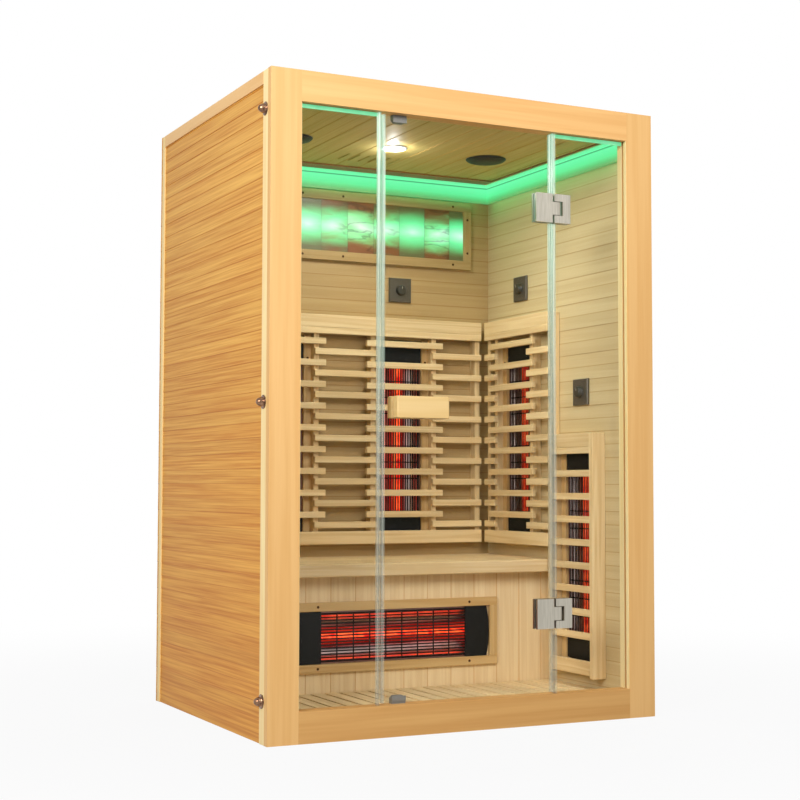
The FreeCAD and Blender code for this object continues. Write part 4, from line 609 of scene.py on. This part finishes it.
# Red quartz tube over a hot coil: deep red, with orange stretches where the coil lies close to the wall
quartz, tree, shader = finish("red quartz tube, glowing", Base_Color=linear("#7A1206"), Roughness=0.15,
                              Emission_Strength=1.9)
coil = put(tree, "TexNoise", {"Vector": put(tree, "TexCoord").outputs["Object"], "Scale": 1 / COIL_PATCH,
                              "Detail": 2.0})
wire(shader, Emission_Color=put(tree, "ValToRGB", {"Fac": coil},
                                stops=((0.35, "#C00C06"), (0.65, "#FF5A2A"))))
tube_low, tube_high = solid_corners("heater_tubes", TUBE_TRIANGLES)
tubes = []
for low, high in zip(tube_low, tube_high):
    axis = np.eye(3)[(high - low).argmax()]
    length = (high - low).max()
    profile = np.array([(TUBE_TIP_R, 0), (TUBE_R, TUBE_TIP), (TUBE_R, length - TUBE_TIP),
                        (TUBE_TIP_R, length)])
    tubes.append(spun(profile, [(low + high) / 2 - axis * length / 2], axis, TUBE_SEGMENTS))
piece("quartz_tubes", *gathered(*tubes), quartz, "cabin", ("heater_tubes",), smooth=True)


def trough(low, high):
    """Polished sheet that is bent behind a tube to throw its light forward: across it the depth falls off
    with the fourth power of the share of the half width; along it nothing changes. Also gives each
    corner's share across and place along."""
    middle, size = (low + high) / 2, high - low
    along = np.eye(3)[size.argmax()]
    on_side = abs(middle[0]) > SIDE_HEATER_X
    out = np.array((-np.sign(middle[0]), 0, 0)) if on_side else np.array((0, -1, 0))
    across = np.cross(along, out)
    share = np.linspace(-1, 1, TROUGH_STEPS)
    depth = TROUGH_DEPTH * (1 - share ** 4) - TUBE_SET_IN
    ends = np.array((-0.5, 0.5)) * size.max()
    shape = (middle + share[None, :, None] * TROUGH_HALF * across - depth[None, :, None] * out
             + ends[:, None, None] * along)
    place = np.stack(np.broadcast_arrays(share[None, :], ends[:, None], middle.sum()), axis=-1)
    return shape, place


# Polished aluminium in the tube's light: red round the tube, pale with dark flecks towards both edges
mirror, tree, shader = finish("polished reflector, lit red", Metallic=1.0, Roughness=0.3,
                              Emission_Strength=0.75)
place = put(tree, "Attribute", attribute_name="sheet").outputs["Vector"]
across = put(tree, "SeparateXYZ", {"Vector": place}).outputs["X"]
side = put(tree, "Math", {0: across}, operation="ABSOLUTE")
drawn = put(tree, "Mapping", {"Vector": place, "Scale": (STREAKS_ACROSS, STREAKS_PER_METRE, STREAK_SHIFT)})
streak = put(tree, "TexNoise", {"Vector": drawn, "Scale": 1.0, "Detail": 2.0})
# Painted light: the tube's red light is drawn on the sheet as emission, strongest round the tube and streaked
# along it
hot = put(tree, "MapRange", {"Value": side, "From Min": 0.1, "From Max": 0.75, "To Min": 0.62,
                             "To Max": -0.1})
tube_light = put(tree, "Math", {0: streak, 1: 0.9, 2: hot}, operation="MULTIPLY_ADD")
tube_light = put(tree, "Math", {0: tube_light, 1: 0.33}, operation="SUBTRACT")
rim = put(tree, "MapRange", {"Value": side, "From Min": 0.2, "From Max": 0.7, "To Min": -0.4,
                             "To Max": 0.35})
fleck = put(tree, "Math", {0: streak, 1: 0.9, 2: rim}, operation="MULTIPLY_ADD")
wire(shader,
     Emission_Color=put(tree, "ValToRGB", {"Fac": tube_light}, stops=((0.1, "#080101"), (0.4, "#9A140E"),
                                                                (0.7, "#E8341C"), (0.95, "#FF9A50"))),
     Base_Color=put(tree, "ValToRGB", {"Fac": fleck}, stops=((0.3, "#3A1410"), (0.8, "#FFE8E0"))))
sheets = [trough(low, high) for low, high in zip(tube_low, tube_high)]
first = np.arange(TROUGH_STEPS - 1)
strip = np.stack([first, first + 1, first + 1 + TROUGH_STEPS, first + TROUGH_STEPS], axis=-1)
strips = np.arange(len(sheets))[:, None, None] * 2 * TROUGH_STEPS + strip
troughs = piece("reflector_troughs", np.stack([shape for shape, _ in sheets]), strips.reshape(-1, 4).tolist(),
                mirror, "cabin", smooth=True)
sheet = troughs.data.attributes.new("sheet", "FLOAT_VECTOR", "POINT")
sheet.data.foreach_set("vector", np.stack([place for _, place in sheets]).ravel())
# Planed hemlock, browner than the slats: it rims each heater
surround_wood = softwood("hemlock surrounds, planed", "#DDBC82", "#CEA668", rings=4, roughness=0.5)
timber_bars("heater_surrounds", surround_wood)
# Browned wood screws: small dark domes, two in each long bar of a surround
browned = mottled("browned steel screws", "#3A2412", "#6A4526", 2 * MM, Metallic=0.8, Roughness=0.4)
screws = []
for low, high in zip(*solid_corners("heater_surrounds")):
    size, middle = high - low, (low + high) / 2
    if size.max() < SCREWED_LENGTH:
        continue
    thin = size.argmin()
    out = np.eye(3)[thin] * (-np.sign(middle[0]) if thin == 0 else -1)
    face = middle + out * size[thin] / 2
    reach = np.eye(3)[size.argmax()] * size.max() * SCREW_REACH
    screws.append(spun(SCREW_PROFILE, [face - reach, face + reach], out, SCREW_SEGMENTS))
piece("surround_screws", *gathered(*screws), browned, "cabin", smooth=True)

# Backrests and heater guards
# Planed slats are nailed across upright stiles, in two sets that pass between each other, with a rail at
# the top and bottom and a cap board. The guards beside the door are boxes of the same stock.
for node in ("backrest_back_frame", "backrest_side_frames", "backrest_back_slats", "backrest_side_slats",
             "heater_guard_frames", "heater_guard_slats"):
    timber_bars(node, slat_hemlock)

# Dimmers
# Six dark satin plates with a turned knob each. Fine flutes round the knob give a grip, and a pale pointer
# line is let into its face.
KNOB_PROFILE = np.array([(3, 0), (19, 0), (19, 1), (18.2, 2), (17.6, 13), (16.6, 15), (14, 16),
                         (6, 15.6)]) * MM
KNOB_HEIGHT = 16 * MM
KNOB_SEGMENTS = 72
KNOB_FLUTES = 24
FLUTE_DEPTH = 0.012
POINTER_HEIGHT = 15.2 * MM
POINTER_OFFSET = 9 * MM
POINTER_HALF_LENGTH, POINTER_HALF_WIDTH, POINTER_HALF_DEPTH = 5.0 * MM, 0.9 * MM, 0.7 * MM
POINTER_EASE = 0.2 * MM
# ABS with a metallic anthracite paint: dark warm grey, satin
plate_paint = mottled("ABS plate, anthracite paint", "#4E483E", "#686256", 1 * MM, Metallic=0.3,
                      Roughness=0.38)
dress(plate_paint, "dimmer_plates")
# Moulded ABS: darker than its plate and smoother
knob_skin = skinned("ABS knob, dark satin", "#3A3830", 0.3, 1 * MM, 0.1)
# Pale moulded inlay: a light line that tells how far the knob is turned
inlay = softwood("pale ABS pointer inlay, moulded", "#D8D0C0", "#C0B8A8", rings=2, roughness=0.5)
facing = {"back": (0, -1, 0), "left": (1, 0, 0), "right": (-1, 0, 0)}
for name in ("knob_back_left", "knob_back_right", "knob_left_rear", "knob_left_low", "knob_right_rear",
             "knob_right_low"):
    low, high = np.array(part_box(name))
    axis = np.array(facing[name.split("_")[1]])
    thin = np.abs(axis).argmax()
    root = (low + high) / 2
    root[thin] = (high if axis[thin] > 0 else low)[thin] - axis[thin] * KNOB_HEIGHT
    piece(name + "_turned", *spun(KNOB_PROFILE, [root], axis, KNOB_SEGMENTS, KNOB_FLUTES, FLUTE_DEPTH),
          knob_skin, name, (name,), smooth=True)
    centre = root + axis * POINTER_HEIGHT + np.array((0, 0, POINTER_OFFSET))
    spread = np.array((POINTER_HALF_WIDTH, POINTER_HALF_WIDTH, POINTER_HALF_LENGTH))
    spread[thin] = POINTER_HALF_DEPTH
    bars(name + "_pointer", (centre - spread)[None], (centre + spread)[None], inlay, name, ease=POINTER_EASE)

# Salt panel
# A row of sawn rock-salt tiles sits in a rebated softwood frame with small screws, lit from behind by a
# strip lamp, so that the middle of the tiles glows.
SALT_FRAME_WIDTH = 33 * MM
SALT_SCREW_SHARES = (-0.88, -0.31, 0.0, 0.31, 0.88)
SALT_SIDE_SHARES = (0.25, 0.75)
TILE_PITCH = 102.5 * MM
TILE_SEED = 749
TILE_SHIFT = 3.0
CLOUD_SIZE = (150 * MM, 60 * MM, 48 * MM)
CRACK_SLANT = 0.7
SPOT_REACH = 80 * MM
STRIP_MOTTLE = 30 * MM
salt_low, salt_high = np.array(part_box("salt_panel_frame"))
inner_low = salt_low + (SALT_FRAME_WIDTH, 0, SALT_FRAME_WIDTH)
inner_high = salt_high - (SALT_FRAME_WIDTH, 0, SALT_FRAME_WIDTH)
(x0, y0, z0), (x1, y1, z1) = salt_low, salt_high
low = np.array([(x0, y0, z0), (x0, y0, inner_high[2]), (x0, y0, inner_low[2]),
                (inner_high[0], y0, inner_low[2])])
high = np.array([(x1, y1, inner_low[2]), (x1, y1, z1), (inner_low[0], y1, inner_high[2]),
                 (x1, y1, inner_high[2])])
# Planed hemlock, browner than the wall: it rims the glow
salt_wood = softwood("hemlock salt frame, planed", "#B89C68", "#AC8E5A", rings=4, roughness=0.55)
bars("salt_frame_planed", low, high, salt_wood, "cabin", ("salt_panel_frame",))
half = SALT_FRAME_WIDTH / 2
spots = [(share * (x1 - half), y0, z) for z in (z0 + half, z1 - half) for share in SALT_SCREW_SHARES]
spots += [(x, y0, z0 + share * (z1 - z0)) for x in (x0 + half, x1 - half) for share in SALT_SIDE_SHARES]
piece("salt_frame_screws", *spun(SCREW_PROFILE, spots, (0, -1, 0), SCREW_SEGMENTS), browned, "cabin",
      smooth=True)
# Rock salt: each tile is milky or rust brown, and the rusty ones have dark slanting cracks; the green lamp
# behind shows as a band across all tiles, nearly white in the middle of each
salt, tree, shader = finish("rock salt tiles, back-lit", Roughness=0.45, IOR=1.54, Emission_Strength=1.0)
tile_low, tile_high = np.array(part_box("salt_tiles"))
tile_middle = (tile_low[2] + tile_high[2]) / 2
place = put(tree, "TexCoord").outputs["Object"]
split = put(tree, "SeparateXYZ", {"Vector": place}).outputs
row = put(tree, "MapRange", {"Value": split["X"], "From Min": tile_low[0],
                             "From Max": tile_low[0] + TILE_PITCH}, clamp=False)
number = put(tree, "Math", {0: row}, operation="FLOOR")
number = put(tree, "Math", {0: number, 1: TILE_SEED}, operation="ADD")
chance = put(tree, "TexWhiteNoise", {"W": number}, noise_dimensions="1D").outputs
own = put(tree, "VectorMath", {0: chance["Color"], 1: (TILE_SHIFT,) * 3, 2: place}, operation="MULTIPLY_ADD")
slanted = put(tree, "Mapping", {"Vector": own, "Rotation": (0, CRACK_SLANT, 0),
                                "Scale": [1 / size for size in CLOUD_SIZE]})
cloud = put(tree, "TexNoise", {"Vector": slanted, "Scale": 1.0, "Detail": 3.0, "Distortion": 0.4})
rust = put(tree, "Math", {0: cloud, 1: 1.1, 2: chance["Value"]}, operation="MULTIPLY_ADD")
rust = put(tree, "MapRange", {"Value": rust, "From Min": 0.85, "From Max": 1.3},
           interpolation_type="SMOOTHSTEP")
stone = put(tree, "ValToRGB", {"Fac": rust}, stops=((0.0, "#6E6A40"), (1.0, "#884C24")))
vein = put(tree, "TexNoise", {"Vector": slanted, "Scale": 0.8, "Detail": 4.0, "Distortion": 0.3})
crack = put(tree, "Math", {0: vein, 1: 0.5}, operation="SUBTRACT")
crack = put(tree, "Math", {0: crack}, operation="ABSOLUTE")
crack = put(tree, "MapRange", {"Value": crack, "From Max": 0.03, "To Min": 0.4, "To Max": 0.0})
crack = put(tree, "Math", {0: crack, 1: rust}, operation="MULTIPLY")
seam = put(tree, "Math", {0: row, 1: 0.5}, operation="PINGPONG")
seam = put(tree, "MapRange", {"Value": seam, "From Max": 0.02, "To Min": 0.75})
dimmed = put(tree, "Math", {0: seam, 1: crack}, operation="SUBTRACT")
aside = put(tree, "Math", {0: row}, operation="FRACT")
aside = put(tree, "MapRange", {"Value": aside, "To Min": -0.27, "To Max": 0.27})
above = put(tree, "MapRange", {"Value": split["Z"], "From Min": tile_middle,
                               "From Max": tile_middle + SPOT_REACH}, clamp=False)
apart = put(tree, "VectorMath", {0: put(tree, "CombineXYZ", {"X": aside, "Y": above})},
            operation="LENGTH").outputs["Value"]
spread = put(tree, "MapRange", {"Value": rust, "To Min": 0.3, "To Max": 1.1})
ragged = put(tree, "Math", {0: cloud, 1: 0.45}, operation="SUBTRACT")
ragged = put(tree, "Math", {0: ragged, 1: spread, 2: apart}, operation="MULTIPLY_ADD")
glow = put(tree, "ValToRGB", {"Fac": ragged},
           stops=((0.04, "#CCFFEC"), (0.22, "#94FACA"), (0.42, "#4CF0A0"), (0.66, "#30BC70"),
                  (0.86, "#24683A"), (1.0, "#0E2410")))
wire(shader, Base_Color=put(tree, "HueSaturation", {"Color": stone, "Value": dimmed}),
     Emission_Color=put(tree, "HueSaturation", {"Color": glow, "Value": dimmed}))
dress(salt, "salt_tiles")
# Opal strip of the lamp behind: even mint light
opal_strip, tree, shader = finish("opal lamp strip, lit", Base_Color=linear("#E8FFF0"),
                                  Emission_Color=linear("#8CFFC0"), Emission_Strength=1.0)
mottle = put(tree, "TexNoise", {"Vector": put(tree, "TexCoord").outputs["Object"], "Scale": 1 / STRIP_MOTTLE})
wire(shader, Roughness=put(tree, "MapRange", {"Value": mottle, "To Min": 0.3, "To Max": 0.5}))
dress(opal_strip, "salt_lamp")

# Studio
# A pale floor in a white surround, with a large lamp high at the left, one in front and one behind. Small
# lamps inside add the spill of downlight and cove. The camera stands at the left front, below half height.
FLOOR_REACH = 12.0
SPILL_DROP = 4 * MM
SPILL_FROM_WALL = 26 * MM
SPILL_LEAN, SPILL_FALL = 50 * MM, 120 * MM
SPILL_WIDTH = 20 * MM
SPILL_GREEN = "#38E8A8"
LENS_GLOW_DROP = 22 * MM


def watched(tree):
    """One for a ray from the camera, a gloss or a glass, and nought for the others."""
    rays = put(tree, "LightPath").outputs
    seen = put(tree, "Math", {0: rays["Is Camera Ray"], 1: rays["Is Glossy Ray"]}, operation="MAXIMUM")
    return put(tree, "Math", {0: seen, 1: rays["Is Transmission Ray"]}, operation="MAXIMUM")


# Matt pale floor: it keeps a soft shadow and fades to white away from the cabin
studio_floor, tree, shader = finish("matt pale studio floor", Base_Color=linear("#969696"), Roughness=0.9)
away = put(tree, "VectorMath", {0: put(tree, "TexCoord").outputs["Object"]},
           operation="LENGTH").outputs["Value"]
paling = put(tree, "MapRange", {"Value": away, "From Min": 0.9, "From Max": 3.5, "To Min": 0.93},
             interpolation_type="SMOOTHSTEP")
share = put(tree, "Math", {0: watched(tree), 1: paling}, operation="MULTIPLY")
white = put(tree, "Emission", {"Color": (1, 1, 1, 1), "Strength": 1.0})
wire(tree.nodes["Material Output"], Surface=put(tree, "MixShader", {0: share, 1: shader, 2: white}))
mesh = bpy.data.meshes.new("studio_floor")
mesh.from_pydata([(-FLOOR_REACH, -FLOOR_REACH, 0), (FLOOR_REACH, -FLOOR_REACH, 0),
                  (FLOOR_REACH, FLOOR_REACH, 0), (-FLOOR_REACH, FLOOR_REACH, 0)], [], [(0, 1, 2, 3)])
mesh.materials.append(studio_floor)
floor = bpy.data.objects.new("studio_floor", mesh)
bpy.context.scene.collection.objects.link(floor)

world = bpy.data.worlds.new("studio")
bpy.context.scene.world = world
world.use_nodes = True
tree = world.node_tree
backdrop = tree.nodes["Background"]
backdrop.inputs["Color"].default_value = (1, 1, 1, 1)
wire(backdrop, Strength=put(tree, "MapRange", {"Value": watched(tree), "To Min": 0.34}))


def lamp(name, place, target, size, power, reach=None, colour="#FFFFFF"):
    """An area lamp, square or drawn out to a strip of some reach, that looks at a point: its tilt and
    turn are arctangents of the line from the point back to the lamp."""
    light = bpy.data.lights.new(name, "AREA")
    light.size = size
    if reach:
        light.shape, light.size_y = "RECTANGLE", reach
    light.energy = power
    light.color = linear(colour)[:3]
    made = bpy.data.objects.new(name, light)
    back = np.array(place, dtype=float) - np.array(target, dtype=float)
    flat = math.hypot(back[0], back[1])
    made.location = place
    made.rotation_euler = (math.atan2(flat, back[2]), 0, math.atan2(back[0], -back[1]))
    bpy.context.scene.collection.objects.link(made)


lamp("key", (-3.9, -3.0, 2.7), (0, 0, 1.05), 2.0, 172)
lamp("front", (-0.1, -3.3, 2.8), (0.1, 0, 1.1), 1.6, 56)
lamp("rear", (3.2, 3.6, 3.0), (0, 0, 1.0), 2.4, 110)
lamp("room", (0, 0.035, 1.80), (0, 0.034, 0), 0.06, 3.0)
spill_z = cove_low[2] - SPILL_DROP
wall_x, wall_y = room_right - SPILL_FROM_WALL, room_rear - SPILL_FROM_WALL
for side in (-1, 1):
    lamp("cove_side", (side * wall_x, 0.0, spill_z),
         (side * (wall_x + SPILL_LEAN), 0.0, spill_z - SPILL_FALL), 0.85, 0.12, SPILL_WIDTH, SPILL_GREEN)
lamp("cove_back", (0.0, wall_y, spill_z), (0.0, wall_y + SPILL_LEAN, spill_z - SPILL_FALL), 1.1, 0.14,
     SPILL_WIDTH, SPILL_GREEN)
lens_glow = bpy.data.lights.new("lens_glow", "POINT")
lens_glow.energy = 0.9
lens_glow.shadow_soft_size = 0.01
glow_lamp = bpy.data.objects.new("lens_glow", lens_glow)
glow_lamp.location = (0, LAMP_Y, ceiling_low[2] - LENS_GLOW_DROP)
bpy.context.scene.collection.objects.link(glow_lamp)

camera = bpy.data.objects.new("camera", bpy.data.cameras.new("camera"))
camera.data.lens = 68.52
camera.data.sensor_width = 36
camera.location = (-2.20588, -4.45702, 0.71948)
camera.rotation_euler = (math.pi / 2 + 0.0560, -0.0020, -0.4611)
bpy.context.scene.collection.objects.link(camera)
bpy.context.scene.camera = camera
bpy.context.scene.view_settings.view_transform = "Standard"
